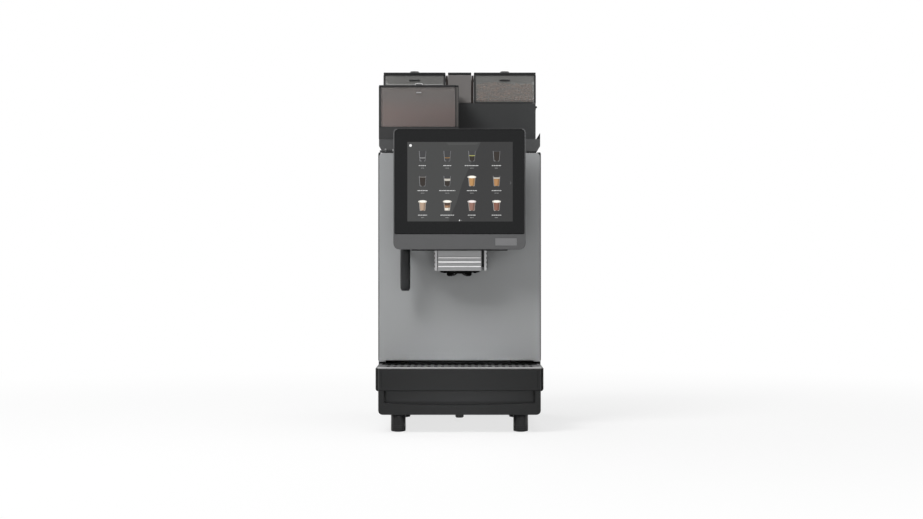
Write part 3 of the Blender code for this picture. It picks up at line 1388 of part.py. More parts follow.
def build_electrics(zinc, green, black):
    """The power supply, main board, fan, power inlet and power switch."""
    low = SHELF_TOP + FIT
    back = BASE_BACK - SHEET
    supply = block(
        centred(0, SUPPLY_WIDTH), (back - SUPPLY_DEPTH, back), (low, low + SUPPLY_HEIGHT)
    )
    piece("power_supply", zinc, supply)

    board_back = BULKHEAD_BACK + FIT + BOARD_THICKNESS
    board_low = SHELF_TOP + BOARD_RISE
    board = block(
        (BOARD_LEFT, BOARD_LEFT + BOARD_WIDTH),
        (BULKHEAD_BACK + FIT, board_back),
        (board_low, board_low + BOARD_HEIGHT),
    )
    chips = []
    for column in range(BOARD_CHIP_COLUMNS):
        for row in range(BOARD_CHIP_ROWS):
            x = BOARD_LEFT + (column + BOARD_CHIP_PLACE) * BOARD_WIDTH / BOARD_CHIP_COLUMNS
            z = board_low + (row + BOARD_CHIP_PLACE) * BOARD_HEIGHT / BOARD_CHIP_ROWS
            depth = (board_back - BOARD_THICKNESS / 2, board_back + BOARD_CHIP_HEIGHT)
            chips.append((centred(x, BOARD_CHIP), depth, centred(z, BOARD_CHIP)))
    piece("main_board", green, board, [blocks(chips)])

    fan_z = SHELF_TOP + FAN_RISE
    fan_back = BASE_BACK
    fan_front = fan_back - FAN_DEPTH
    centre = (FAN_X, fan_z)
    side = centred(FAN_X, FAN_SIZE)
    frame = block(side, (fan_front, fan_back), centred(fan_z, FAN_SIZE))
    bore = rod(FAN_BORE, "Y", centre, (fan_front - OVER, fan_back + OVER), FINE_SIDES)
    ring = piece("fan_frame", black, frame, cut=[bore])
    spider = (fan_back - SHEET, fan_back - FIT)
    reach = FAN_BORE + OVER
    for shape in (
        rod(FAN_HUB, "Y", centre, spider),
        block(centred(FAN_X, 2 * reach), spider, centred(fan_z, FAN_STRUT)),
        block(centred(FAN_X, FAN_STRUT), spider, centred(fan_z, 2 * reach)),
    ):
        add_helper(ring, shape, "UNION")
    rotor_span = (fan_front + SHEET, fan_back - SHEET - FIT)
    hub = rod(FAN_HUB, "Y", centre, rotor_span)
    middle_y = sum(rotor_span) / 2
    blades = []
    for index in range(FAN_BLADES):
        blade = block(
            (FAN_X + FAN_HUB - SHEET, FAN_X + FAN_BLADE_RADIUS),
            centred(middle_y, FAN_BLADE_THICKNESS),
            centred(fan_z, 2 * FAN_HUB - 2 * SHEET),
        )
        point = (FAN_X, middle_y, fan_z)
        blade = turned(blade, point, "X", FAN_BLADE_TILT)
        blades.append(turned(blade, point, "Y", math.tau * index / FAN_BLADES))
    piece("fan_rotor", black, hub, blades, pivot=(FAN_X, middle_y, fan_z))

    inlet_z = SHELF_TOP + INLET_RISE
    height = centred(inlet_z, 2 * INLET_HALF_HEIGHT)
    body = block(centred(INLET_X, 2 * INLET_HALF_WIDTH), (BACK - INLET_DEPTH, BACK), height)
    socket = block(
        (INLET_X + SOCKET_LEFT, INLET_X + SOCKET_RIGHT),
        (BACK - SOCKET_DEPTH, BACK + OVER),
        centred(inlet_z, 2 * SOCKET_HALF_HEIGHT),
    )
    switch_span = (INLET_X + SWITCH_LEFT, INLET_X + SWITCH_RIGHT)
    well = block(
        switch_span,
        (BACK - SWITCH_DEPTH - SWITCH_RISE, BACK + OVER),
        centred(inlet_z, 2 * SWITCH_HALF_HEIGHT + 2 * SWITCH_FIT),
    )
    piece("power_inlet", black, body, cut=[socket, well])
    face = BACK - SWITCH_RISE
    outline = (
        (face - SWITCH_DEPTH / 2, inlet_z - SWITCH_HALF_HEIGHT),
        (face, inlet_z - SWITCH_HALF_HEIGHT),
        (face - SWITCH_RISE, inlet_z),
        (face, inlet_z + SWITCH_HALF_HEIGHT),
        (face - SWITCH_DEPTH / 2, inlet_z + SWITCH_HALF_HEIGHT),
        (face - SWITCH_DEPTH + FIT, inlet_z),
    )
    span = (switch_span[0] + FIT, switch_span[1] - FIT)
    pivot = (sum(span) / 2, face - SWITCH_DEPTH / 2, inlet_z)
    rocker = turned(prism(outline, "X", span), pivot, "X", SWITCH_TILT)
    piece("power_switch", black, rocker, pivot=pivot)


def build_brewer(black, metal, white):
    """The brew unit with its piston and motor, and the grounds bin under it."""
    back = BULKHEAD_FRONT - FIT
    top = BREW_BOTTOM + BREW_HEIGHT
    cup_low = BREW_BOTTOM + BREW_CUP_RISE
    cup_top = cup_low + BREW_CUP_HEIGHT
    plate = block(centred(0, 2 * BREW_HALF_WIDTH), (back - BREW_PLATE, back), (BREW_BOTTOM, top))
    cup = rod(BREW_CUP_RADIUS, "Z", (0, BREW_Y), (cup_low, cup_top), FINE_SIDES)
    web = block(
        centred(0, BREW_CUP_RADIUS), (BREW_Y + BREW_BORE, back - SHEET), (cup_low, cup_top)
    )
    bore = rod(BREW_BORE, "Z", (0, BREW_Y), (cup_low + BREW_BEAM, cup_top + OVER), FINE_SIDES)
    rod_hole = rod(PISTON_ROD + PISTON_ROD_FIT, "Z", (0, BREW_Y), (cup_low - OVER, cup_top))
    piece("brew_frame", black, plate, [cup, web], [bore, rod_hole])

    low = cup_low + BREW_BEAM + FIT
    profile = (
        (0, BREW_BOTTOM),
        (PISTON_ROD, BREW_BOTTOM),
        (PISTON_ROD, low),
        (PISTON_RADIUS, low),
        (PISTON_RADIUS, low + PISTON_HEAD),
        (0, low + PISTON_HEAD),
    )
    piece("brew_piston", white, lathe(profile, "Z", (0, BREW_Y)), pivot=(0, BREW_Y, low))

    side = BREW_HALF_WIDTH + MOTOR_RADIUS + SHEET
    span = (back - MOTOR_LENGTH, back)
    motor = rod(MOTOR_RADIUS, "Y", (side, top - MOTOR_RADIUS), span)
    piece("brew_motor", metal, motor)

    low = SHELF_TOP + FIT
    front = CABINET_FRONT + SHEET
    walls = block(centred(0, 2 * BIN_HALF_WIDTH), (front, front + BIN_DEPTH), (low, low + BIN_HEIGHT))
    well = block(
        centred(0, 2 * BIN_HALF_WIDTH - 2 * THICK_WALL),
        (front + THICK_WALL, front + BIN_DEPTH - THICK_WALL),
        (low + THICK_WALL, low + BIN_HEIGHT + OVER),
    )
    piece("grounds_bin", black, walls, cut=[well])


def build_mixer(white, metal):
    """The mixing bowl under the powder outlet, its whipper and its motor."""
    bottom = MIXER_TOP - MIXER_HEIGHT
    inner = MIXER_RADIUS - MIXER_WALL
    centre = (MIXER_X, MIXER_Y)
    neck = MIXER_CHAMBER / 2 - MIXER_WALL
    profile = (
        (0, bottom - MIXER_CONE),
        (MIXER_CHAMBER / 2, bottom - MIXER_CONE),
        (MIXER_RADIUS, bottom),
        (MIXER_RADIUS, MIXER_TOP),
        (inner, MIXER_TOP),
        (inner, bottom),
        (neck, bottom - MIXER_CONE + MIXER_WALL),
        (0, bottom - MIXER_CONE + MIXER_WALL),
    )
    axis = (MIXER_X, bottom - MIXER_CONE - MIXER_CHAMBER / 2)
    span = centred(MIXER_Y, 2 * MIXER_CHAMBER_HALF)
    inside = (span[0] - OVER, span[1] - MIXER_WALL)
    drum = rod(MIXER_CHAMBER, "Y", axis, span, FINE_SIDES)
    hollow = rod(MIXER_CHAMBER_BORE, "Y", axis, inside, FINE_SIDES)
    drop = rod(
        neck - OVER,
        "Z",
        centre,
        (axis[1] - 2 * MIXER_CHAMBER, bottom - MIXER_CONE + 2 * MIXER_WALL),
        FINE_SIDES,
    )
    spigot_span = (axis[1] - MIXER_SPIGOT_DROP, axis[1] - MIXER_WALL)
    spigot = rod(MIXER_CHAMBER / 2, "Z", centre, spigot_span)
    shaft_hole = rod(MIXER_SHAFT + MIXER_SHAFT_FIT, "Y", axis, (MIXER_Y, span[1] + OVER))
    body = lathe(profile, "Z", centre)
    piece("mixer_bowl", white, body, [drum, spigot], [hollow, drop, shaft_hole])

    disc = (inside[1] - MIXER_WALL - WHIPPER_DISC, inside[1] - MIXER_WALL)
    wheel = rod(WHIPPER_RADIUS - WHIPPER_VANE, "Y", axis, disc)
    shaft = rod(MIXER_SHAFT, "Y", axis, (disc[0] + OVER, span[1] + WHIPPER_DISC))
    vanes = []
    for index in range(WHIPPER_VANES):
        vane = block(
            centred(MIXER_X, 2 * WHIPPER_RADIUS),
            (disc[0] - WHIPPER_DISC, disc[1] - OVER),
            centred(axis[1], WHIPPER_VANE),
        )
        point = (MIXER_X, MIXER_Y, axis[1])
        vanes.append(turned(vane, point, "Y", math.pi * index / WHIPPER_VANES))
    pivot = (MIXER_X, disc[1], axis[1])
    piece("whipper", white, wheel, [shaft, *vanes], pivot=pivot)
    motor_front = span[1] + WHIPPER_DISC + FIT
    motor = rod(MOTOR_RADIUS, "Y", axis, (motor_front, BULKHEAD_FRONT - FIT))
    piece("mixer_motor", metal, motor)


def main():
    """Builds every piece in its place."""
    for left_over in list(bpy.data.objects):
        bpy.data.objects.remove(left_over, do_unlink=True)
    black = black_plastic()
    clear = smoked_clear()
    chromed = chrome()
    silver = silver_paint()
    metal = cast_aluminium()
    steel = stainless()
    zinc = zinc_plate()
    white = pale_plastic()
    grey = grey_plastic()
    build_base(black, gloss_black())
    build_tray(black, steel, float_red())
    build_cabinet(dark_steel(), zinc, grey, black)
    build_door(silver, black, chromed)
    build_screen(grey, screen_glass_black(), display_dark(), black)
    build_outlet(black, silver, black)
    build_bean_hoppers(clear, black, chromed)
    build_powder_hopper(clear, black, chromed, white)
    build_grinders(metal, steel)
    build_water(steel, brass())
    build_electrics(zinc, circuit_green(), black)
    build_brewer(black, metal, white)
    build_mixer(white, metal)


main()
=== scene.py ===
"""Finished look of a counter-top hot drinks machine on a plain studio floor.

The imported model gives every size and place. The classes below give each of its
pieces rounded edges and a finish, and add the small pieces that it leaves out.
Pieces are sized in millimetres and lamps and finishes in metres: X runs to the
right, Y to the back and Z up.
"""

from __future__ import annotations

import json
import logging
import math
import random
from dataclasses import dataclass
from enum import Enum
from typing import Iterable, Sequence

import bmesh
import bpy
from mathutils import Matrix, Vector

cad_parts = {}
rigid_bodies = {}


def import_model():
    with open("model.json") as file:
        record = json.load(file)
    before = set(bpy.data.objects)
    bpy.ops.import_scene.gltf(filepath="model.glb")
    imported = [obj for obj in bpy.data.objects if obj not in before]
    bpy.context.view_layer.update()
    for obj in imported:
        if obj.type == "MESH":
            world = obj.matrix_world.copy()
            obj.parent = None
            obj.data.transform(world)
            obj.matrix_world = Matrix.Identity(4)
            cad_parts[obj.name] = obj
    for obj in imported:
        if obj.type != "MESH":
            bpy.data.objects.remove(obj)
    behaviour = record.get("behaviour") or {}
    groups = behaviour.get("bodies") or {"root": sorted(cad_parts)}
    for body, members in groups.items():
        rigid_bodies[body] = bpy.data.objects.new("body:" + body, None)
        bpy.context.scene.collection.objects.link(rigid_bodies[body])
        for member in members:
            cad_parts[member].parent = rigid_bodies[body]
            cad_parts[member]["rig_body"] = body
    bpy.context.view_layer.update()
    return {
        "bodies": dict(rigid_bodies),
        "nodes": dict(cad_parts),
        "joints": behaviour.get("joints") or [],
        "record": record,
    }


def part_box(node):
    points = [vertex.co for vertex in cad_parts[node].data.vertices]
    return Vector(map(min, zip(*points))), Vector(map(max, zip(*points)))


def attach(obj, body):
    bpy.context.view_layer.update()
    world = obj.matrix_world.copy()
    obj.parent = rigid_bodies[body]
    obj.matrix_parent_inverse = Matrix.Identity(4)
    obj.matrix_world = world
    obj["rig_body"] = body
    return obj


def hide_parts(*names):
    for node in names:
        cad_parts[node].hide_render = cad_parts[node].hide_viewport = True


LOG = logging.getLogger("drinks_machine")
MM = 0.001
SMOOTH_LIMIT = math.radians(35)
WELD = 0.01 * MM

Colour = tuple[float, float, float]
Span = tuple[float, float]
Point = tuple[float, float]
Point3 = tuple[float, float, float]


# ---------------------------------------------------------------- shader graph


class Wire:
    """A shader value that takes part in Python expressions."""

    def __init__(self, graph: Graph, socket: bpy.types.NodeSocket) -> None:
        """Keep the output socket and the graph that it is in.

        Args:
            graph: The graph that new nodes are added to.
            socket: The output socket that carries the value.
        """
        self.graph = graph
        self.socket = socket

    def _math(self, operation: str, other: Wire | float) -> Wire:
        """Return what a Math node makes of this value and another."""
        return self.graph.node("ShaderNodeMath", {"operation": operation}, {0: self, 1: other})

    def __add__(self, other: Wire | float) -> Wire:
        """Return self + other."""
        return self._math("ADD", other)

    __radd__ = __add__

    def __mul__(self, other: Wire | float) -> Wire:
        """Return self * other."""
        return self._math("MULTIPLY", other)

    __rmul__ = __mul__

    def __pow__(self, other: Wire | float) -> Wire:
        """Return self ** other."""
        return self._math("POWER", other)


class Graph:
    """The node tree of one new material."""

    def __init__(self, name: str) -> None:
        """Make a material with an empty node tree and a Principled shader.

        Args:
            name: The material's name.
        """
        self.material = bpy.data.materials.new(name)
        self.material.use_nodes = True
        self.tree = self.material.node_tree
        self.tree.nodes.clear()
        self.shader = self.tree.nodes.new("ShaderNodeBsdfPrincipled")
        self.output = self.tree.nodes.new("ShaderNodeOutputMaterial")
        self.tree.links.new(self.shader.outputs[0], self.output.inputs["Surface"])

    def plug(self, node: bpy.types.Node, inputs: dict[str | int, object]) -> None:
        """Set or link a node's input sockets.

        Args:
            node: The node.
            inputs: Each socket's name or number, with its value or link.
        """
        for key, value in inputs.items():
            if isinstance(value, Wire):
                self.tree.links.new(value.socket, node.inputs[key])
            else:
                node.inputs[key].default_value = value

    def node(
        self,
        kind: str,
        settings: dict[str, object] | None = None,
        inputs: dict[str | int, object] | None = None,
        output: str | int = 0,
    ) -> Wire:
        """Add a node of any kind.

        Args:
            kind: The node's type name.
            settings: Its own settings.
            inputs: Its sockets' values or links.
            output: The output socket to return.

        Returns:
            The wanted output.
        """
        node = self.tree.nodes.new(kind)
        for key, value in (settings or {}).items():
            setattr(node, key, value)
        self.plug(node, inputs or {})
        return Wire(self, node.outputs[output])

    def surface(self, **inputs: object) -> None:
        """Set the Principled shader's sockets.

        Args:
            inputs: Values or links, with underscores for the spaces in a socket's name.
        """
        self.plug(self.shader, {key.replace("_", " "): value for key, value in inputs.items()})

    def place(self, stretch: Point3 = (1.0, 1.0, 1.0)) -> Wire:
        """Return object coordinates, stretched along each axis."""
        coords = self.node("ShaderNodeTexCoord", output="Object")
        return self.node("ShaderNodeMapping", None, {"Vector": coords, "Scale": stretch})

    def noise(self, scale: float, detail: float = 2.0, place: Wire | None = None) -> Wire:
        """Return noise between 0 and 1.

        Args:
            scale: Features a metre.
            detail: How many finer layers it has.
            place: The coordinates, or the plain object coordinates where there are none.

        Returns:
            The noise value.
        """
        inputs = {"Vector": place or self.place(), "Scale": scale, "Detail": detail}
        return self.node("ShaderNodeTexNoise", None, inputs)

    def blend(self, share: Wire | float, low: object, high: object) -> Wire:
        """Mix two colours.

        Args:
            share: 0 for the first and 1 for the second.
            low: The first colour, as a value or a link.
            high: The second colour.

        Returns:
            The mixed colour.
        """
        colours = [(*c, 1.0) if isinstance(c, tuple) else c for c in (low, high)]
        inputs = {0: share, 6: colours[0], 7: colours[1]}
        return self.node("ShaderNodeMix", {"data_type": "RGBA"}, inputs, 2)

    def ramp(self, value: Wire, start: float, end: float, low: float = 0.0, high: float = 1.0) -> Wire:
        """Rise smoothly from one value to another.

        Args:
            value: What the rise follows.
            start: Where it starts.
            end: Where it ends.
            low: The result up to the start.
            high: The result from the end on.

        Returns:
            The result.
        """
        inputs = {"Value": value, "From Min": start, "From Max": end, "To Min": low, "To Max": high}
        return self.node("ShaderNodeMapRange", {"interpolation_type": "SMOOTHSTEP"}, inputs)

    def bump(self, height: Wire, strength: float, depth: float) -> Wire:
        """Return a normal that a height pattern has bumped.

        Args:
            height: The pattern, from 0 to 1.
            strength: How strongly it shows, from 0 to 1.
            depth: The height in metres that 1 stands for.

        Returns:
            The bumped normal.
        """
        inputs = {"Height": height, "Strength": strength, "Distance": depth}
        return self.node("ShaderNodeBump", None, inputs)


def shade(colour: Colour, factor: float) -> Colour:
    """Return a colour made lighter or darker."""
    return tuple(min(1.0, channel * factor) for channel in colour)


# -------------------------------------------------------------------- finishes


@dataclass(frozen=True)
class Finish:
    """A finish that a piece can be given.

    Attributes:
        name: The material's name.
        colour: The linear base colour.
        roughness: The mean roughness.
    """

    name: str
    colour: Colour
    roughness: float

    def build(self) -> bpy.types.Material:
        """Make the material.

        Returns:
            The new material.
        """
        graph = Graph(self.name)
        graph.surface(Base_Color=(*self.colour, 1.0), Roughness=self.roughness)
        self.dress(graph)
        return graph.material

    def dress(self, graph: Graph) -> None:
        """Add what this kind of finish has beyond a colour."""


@dataclass(frozen=True)
class Moulded(Finish):
    """Moulded plastic with a fine spark-eroded grain and faint handling marks.

    Attributes:
        grain: Grains a metre.
        depth: The grain's height.
        shine: How strongly it mirrors, where 0.5 is common plastic.
    """

    grain: float = 1400.0
    depth: float = 0.03 * MM
    shine: float = 0.28

    def dress(self, graph: Graph) -> None:
        """Add the grain, uneven gloss and slight colour drift.

        Args:
            graph: The graph of the material.
        """
        grain = graph.noise(self.grain, 3.0)
        marks = graph.noise(14.0, 4.0)
        graph.surface(
            Base_Color=graph.blend(marks, shade(self.colour, 0.9), shade(self.colour, 1.1)),
            Roughness=self.roughness - 0.05 + marks * 0.06 + grain * 0.04,
            Normal=graph.bump(grain, 0.35, self.depth),
            Specular_IOR_Level=self.shine,
        )


@dataclass(frozen=True)
class SatinPaint(Finish):
    """Sprayed satin paint with fine metal flake and a little orange peel.

    Attributes:
        metallic: How metallic it looks.
        flake: Flakes a metre.
    """

    metallic: float = 0.0
    flake: float = 2600.0

    def dress(self, graph: Graph) -> None:
        """Add the flake, the orange peel and uneven gloss.

        Args:
            graph: The graph of the material.
        """
        flake = graph.noise(self.flake, 1.0)
        peel = graph.noise(260.0, 2.0)
        drift = graph.noise(5.0, 3.0)
        speck = graph.blend(flake, shade(self.colour, 0.9), shade(self.colour, 1.1))
        graph.surface(
            Base_Color=graph.blend(drift * 0.3, speck, shade(self.colour, 0.94)),
            Roughness=self.roughness - 0.03 + drift * 0.05 + flake * 0.03,
            Metallic=self.metallic,
            Normal=graph.bump(peel, 0.25, 0.02 * MM),
        )


class Brushing(Enum):
    """The way a metal's brushing runs."""

    ALONG_X = (1.0, 40.0, 40.0)
    ALONG_Y = (40.0, 1.0, 40.0)
    ROUND = (20.0, 20.0, 20.0)


@dataclass(frozen=True)
class Metal(Finish):
    """Bare metal, brushed, cast or polished.

    Attributes:
        brushing: The way the brushing runs.
        depth: The height of the brushing.
    """

    brushing: Brushing = Brushing.ALONG_X
    depth: float = 0.01 * MM

    def dress(self, graph: Graph) -> None:
        """Add the brushing to the gloss and the normal.

        Args:
            graph: The graph of the material.
        """
        lines = graph.noise(60.0, 4.0, graph.place(self.brushing.value))
        stain = graph.noise(22.0, 3.0)
        graph.surface(
            Base_Color=graph.blend(lines, shade(self.colour, 0.86), shade(self.colour, 1.08)),
            Roughness=self.roughness - 0.06 + lines * 0.1 + stain * 0.05,
            Metallic=1.0,
            Normal=graph.bump(lines, 0.3, self.depth),
        )


@dataclass(frozen=True)
class SmokedClear(Finish):
    """Clear smoked plastic.

    Attributes:
        alpha: How much it hides what is behind it.
    """

    alpha: float = 0.5

    def dress(self, graph: Graph) -> None:
        """Let part of the light through, and add faint scuffs.

        Args:
            graph: The graph of the material.
        """
        scuff = graph.noise(40.0, 5.0)
        graph.surface(
            Roughness=self.roughness + scuff * 0.06,
            Alpha=self.alpha - 0.03 + scuff * 0.06,
            Specular_IOR_Level=0.5,
        )


@dataclass(frozen=True)
class CoverGlass(Finish):
    """Flat cover glass, black behind."""

    def dress(self, graph: Graph) -> None:
        """Add faint wiped finger marks to the gloss.

        Args:
            graph: The graph of the material.
        """
        wiped = graph.noise(9.0, 4.0, graph.place((1.0, 1.0, 2.4)))
        graph.surface(Roughness=self.roughness + wiped * 0.05, Specular_IOR_Level=0.25)


@dataclass(frozen=True)
class Lit(Finish):
    """A patch of a lit display under the cover glass.

    Attributes:
        glow: How brightly it shines.
    """

    glow: float = 1.0

    def dress(self, graph: Graph) -> None:
        """Shine in the patch's own colour, with a fine grain.

        Args:
            graph: The graph of the material.
        """
        grain = graph.noise(900.0, 0.0)
        lit = graph.blend(grain, shade(self.colour, 0.94), shade(self.colour, 1.06))
        graph.surface(
            Base_Color=(*shade(self.colour, 0.1), 1.0),
            Emission_Color=lit,
            Emission_Strength=self.glow,
            Specular_IOR_Level=0.25,
        )


@dataclass(frozen=True)
class Grains(Finish):
    """Loose food, such as beans or powder.

    Attributes:
        second: The second colour that it varies to.
        scale: Patches a metre.
    """

    second: Colour = (0.1, 0.05, 0.03)
    scale: float = 220.0

    def dress(self, graph: Graph) -> None:
        """Vary the colour from grain to grain.

        Args:
            graph: The graph of the material.
        """
        patches = graph.noise(self.scale, 3.0)
        fine = graph.noise(self.scale * 6.0, 2.0)
        graph.surface(
            Base_Color=graph.blend(patches ** 2.0 * 2.2, self.colour, self.second),
            Roughness=self.roughness - 0.05 + fine * 0.1,
            Normal=graph.bump(fine, 0.4, 0.08 * MM),
        )


@dataclass(frozen=True)
class Settled(Grains):
    """Fine powder whose colour turns a darker grey towards the top.

    Attributes:
        low: The height where the powder's colour is full.
        high: The height where only the top grey is left.
        top_grey: The colour at the top.
    """

    low: float = 0.632
    high: float = 0.676
    top_grey: Colour = (0.1, 0.076, 0.068)

    def dress(self, graph: Graph) -> None:
        """Fade the colour with height, over a fine grain.

        Args:
            graph: The graph of the material.
        """
        place = graph.node("ShaderNodeTexCoord", output="Object")
        height = graph.node("ShaderNodeSeparateXYZ", None, {0: place}, 2)
        # The colour turns to the darker top grey with height.
        share = graph.ramp(height, self.low, self.high)
        fine = graph.noise(self.scale * 6.0, 2.0)
        grains = graph.blend(fine, self.colour, self.second)
        graph.surface(
            Base_Color=graph.blend(share, grains, self.top_grey),
            Roughness=self.roughness - 0.05 + fine * 0.1,
            Normal=graph.bump(fine, 0.2, 0.05 * MM),
        )


@dataclass(frozen=True)
class Circuit(Finish):
    """A green circuit board with copper tracks."""

    def dress(self, graph: Graph) -> None:
        """Draw tracks from two stretched noises.

        Args:
            graph: The graph of the material.
        """
        across = graph.noise(30.0, 1.0, graph.place((1.0, 1.0, 14.0)))
        down = graph.noise(30.0, 1.0, graph.place((14.0, 1.0, 1.0)))
        tracks = graph.node("ShaderNodeMath", {"operation": "GREATER_THAN"}, {0: across * down, 1: 0.3})
        graph.surface(Base_Color=graph.blend(tracks, self.colour, shade(self.colour, 2.2)))


class Palette:
    """All finishes of the machine, each made once."""

    PANEL = SatinPaint("panel_silver", (0.37, 0.378, 0.382), 0.45, 0.12)
    CHIN = SatinPaint("chin_silver", (0.12, 0.121, 0.123), 0.4, 0.5)
    SPOUT = SatinPaint("spout_silver", (0.36, 0.362, 0.366), 0.34, 0.6)
    CHEEK = SatinPaint("cheek_silver", (0.5, 0.5, 0.505), 0.36, 0.5)
    RAIL = Moulded("rail_dark", (0.03, 0.022, 0.02), 0.5)
    BLACK = Moulded("body_black", (0.0115, 0.0118, 0.012), 0.42)
    GLOSSY = Moulded("foot_black", (0.012, 0.012, 0.0125), 0.24, 900.0, 0.01 * MM)
    WAND = Moulded("wand_black", (0.018, 0.019, 0.02), 0.3, 900.0, 0.01 * MM)
    INNER = Moulded("inner_black", (0.02, 0.02, 0.021), 0.55)
    DECK = Moulded("deck_grey", (0.0854, 0.0866, 0.0878), 0.46)
    PEDESTAL = Moulded("pedestal_grey", (0.05, 0.0513, 0.0519), 0.46)
    LID = Moulded("lid_grey", (0.02, 0.0205, 0.021), 0.38)
    SIDE = SatinPaint("side_steel", (0.05, 0.051, 0.053), 0.45, 0.1)
    STEEL = Metal("stainless", (0.5, 0.5, 0.5), 0.34)
    GRID = Metal("grid_steel", (0.2, 0.2, 0.2), 0.42)
    # A darker copy of the deck's grey: painted shade on the powder hopper's base band.
    SHADED_BAND = Moulded("powder_band_painted_shade", (0.045, 0.045, 0.0455), 0.46)
    CHROME = Metal("chrome", (0.78, 0.78, 0.78), 0.12, Brushing.ROUND, 0.002 * MM)
    ZINC = Metal("zinc_sheet", (0.5, 0.5, 0.47), 0.42, Brushing.ROUND)
    CAST = Metal("cast_metal", (0.4, 0.4, 0.4), 0.48, Brushing.ROUND, 0.04 * MM)
    MOTOR = Metal("motor_steel", (0.45, 0.45, 0.46), 0.32, Brushing.ALONG_Y)
    BRASS = Metal("pump_brass", (0.6, 0.42, 0.16), 0.34, Brushing.ROUND)
    SMOKE = SmokedClear("hopper_smoke", (0.31, 0.308, 0.296), 0.32, 0.45)
    POWDER_SMOKE = SmokedClear("powder_smoke", (0.262, 0.24, 0.231), 0.32, 0.45)
    CORNER = Moulded("powder_corner", (0.1, 0.093, 0.088), 0.4)
    LINER = Moulded("hopper_liner", (0.288, 0.2832, 0.2712), 0.5)
    CHUTE = Moulded("chute_grey", (0.2, 0.189, 0.183), 0.42)
    DARK_STEEL = Metal("lock_steel", (0.14, 0.14, 0.14), 0.3, Brushing.ROUND)
    RIM = Moulded("hopper_rim", (0.04, 0.04, 0.04), 0.4)
    GLASS = CoverGlass("screen_glass", (0.004, 0.0045, 0.005), 0.1)
    BOARD = Circuit("circuit_green", (0.015, 0.09, 0.04), 0.4)
    WHITE = Moulded("food_white", (0.6, 0.59, 0.55), 0.42)
    RED = Moulded("float_red", (0.45, 0.02, 0.015), 0.38)
    BEANS = Grains("roast_beans", (0.2, 0.055, 0.025), 0.4, (0.74, 0.34, 0.15))
    POWDER = Settled("drink_powder", (0.33, 0.105, 0.07), 0.9, (0.285, 0.09, 0.058), 90.0)
    RUBBER = Moulded("seal_rubber", (0.012, 0.012, 0.012), 0.65)
    PLATE = Metal("badge_plate", (0.25, 0.25, 0.255), 0.4)
    VOID = Moulded("matt_black", (0.004, 0.004, 0.004), 0.95, shine=0.02)
    HOSE = Moulded("hose_silicone", (0.55, 0.54, 0.5), 0.35, 300.0)
    WIRE = Moulded("wire_cover", (0.2, 0.02, 0.015), 0.4)

    _made: dict[str, bpy.types.Material] = {}

    @classmethod
    def get(cls, finish: Finish) -> bpy.types.Material:
        """Find a finish's material, which is made the first time that it is asked for.

        Args:
            finish: The finish.

        Returns:
            Its material.
        """
        if finish.name not in cls._made:
            cls._made[finish.name] = finish.build()
        return cls._made[finish.name]


# --------------------------------------------------------------- shape builder


def extent(node: str) -> tuple[Vector, Vector]:
    """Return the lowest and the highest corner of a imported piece, in millimetres."""
    low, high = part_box(node)
    return low / MM, high / MM


def middle(low: Vector, high: Vector) -> Point3:
    """Return the middle between two corners."""
    return tuple((first + second) / 2 for first, second in zip(low, high))


def upright(node: str) -> tuple[Point3, float, float]:
    """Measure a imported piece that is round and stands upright.

    Args:
        node: The piece.

    Returns:
        The middle of its foot, its radius and its height.
    """
    low, high = extent(node)
    x, y, _ = middle(low, high)
    return (x, y, low.z), (high.x - low.x) / 2, high.z - low.z


def around(centre: float, half: float) -> Span:
    """Return the span that reaches half to both sides of its centre."""
    return centre - half, centre + half


def within(low: float, high: float, gap: float) -> Span:
    """Return a span that stops a gap short of both ends."""
    return low + gap, high - gap


def soften(piece: bpy.types.Object, width: float, segments: int = 2) -> bpy.types.Object:
    """Round a piece's sharp edges with a Bevel modifier.

    Args:
        piece: The piece.
        width: The rounding's width in millimetres.
        segments: Its segments.

    Returns:
        The same piece.
    """
    bevel = piece.modifiers.new("rounding", "BEVEL")
    bevel.width = width * MM
    bevel.segments = segments
    bevel.limit_method = "ANGLE"
    bevel.angle_limit = SMOOTH_LIMIT
    bevel.harden_normals = True
    bevel.use_clamp_overlap = True
    return piece


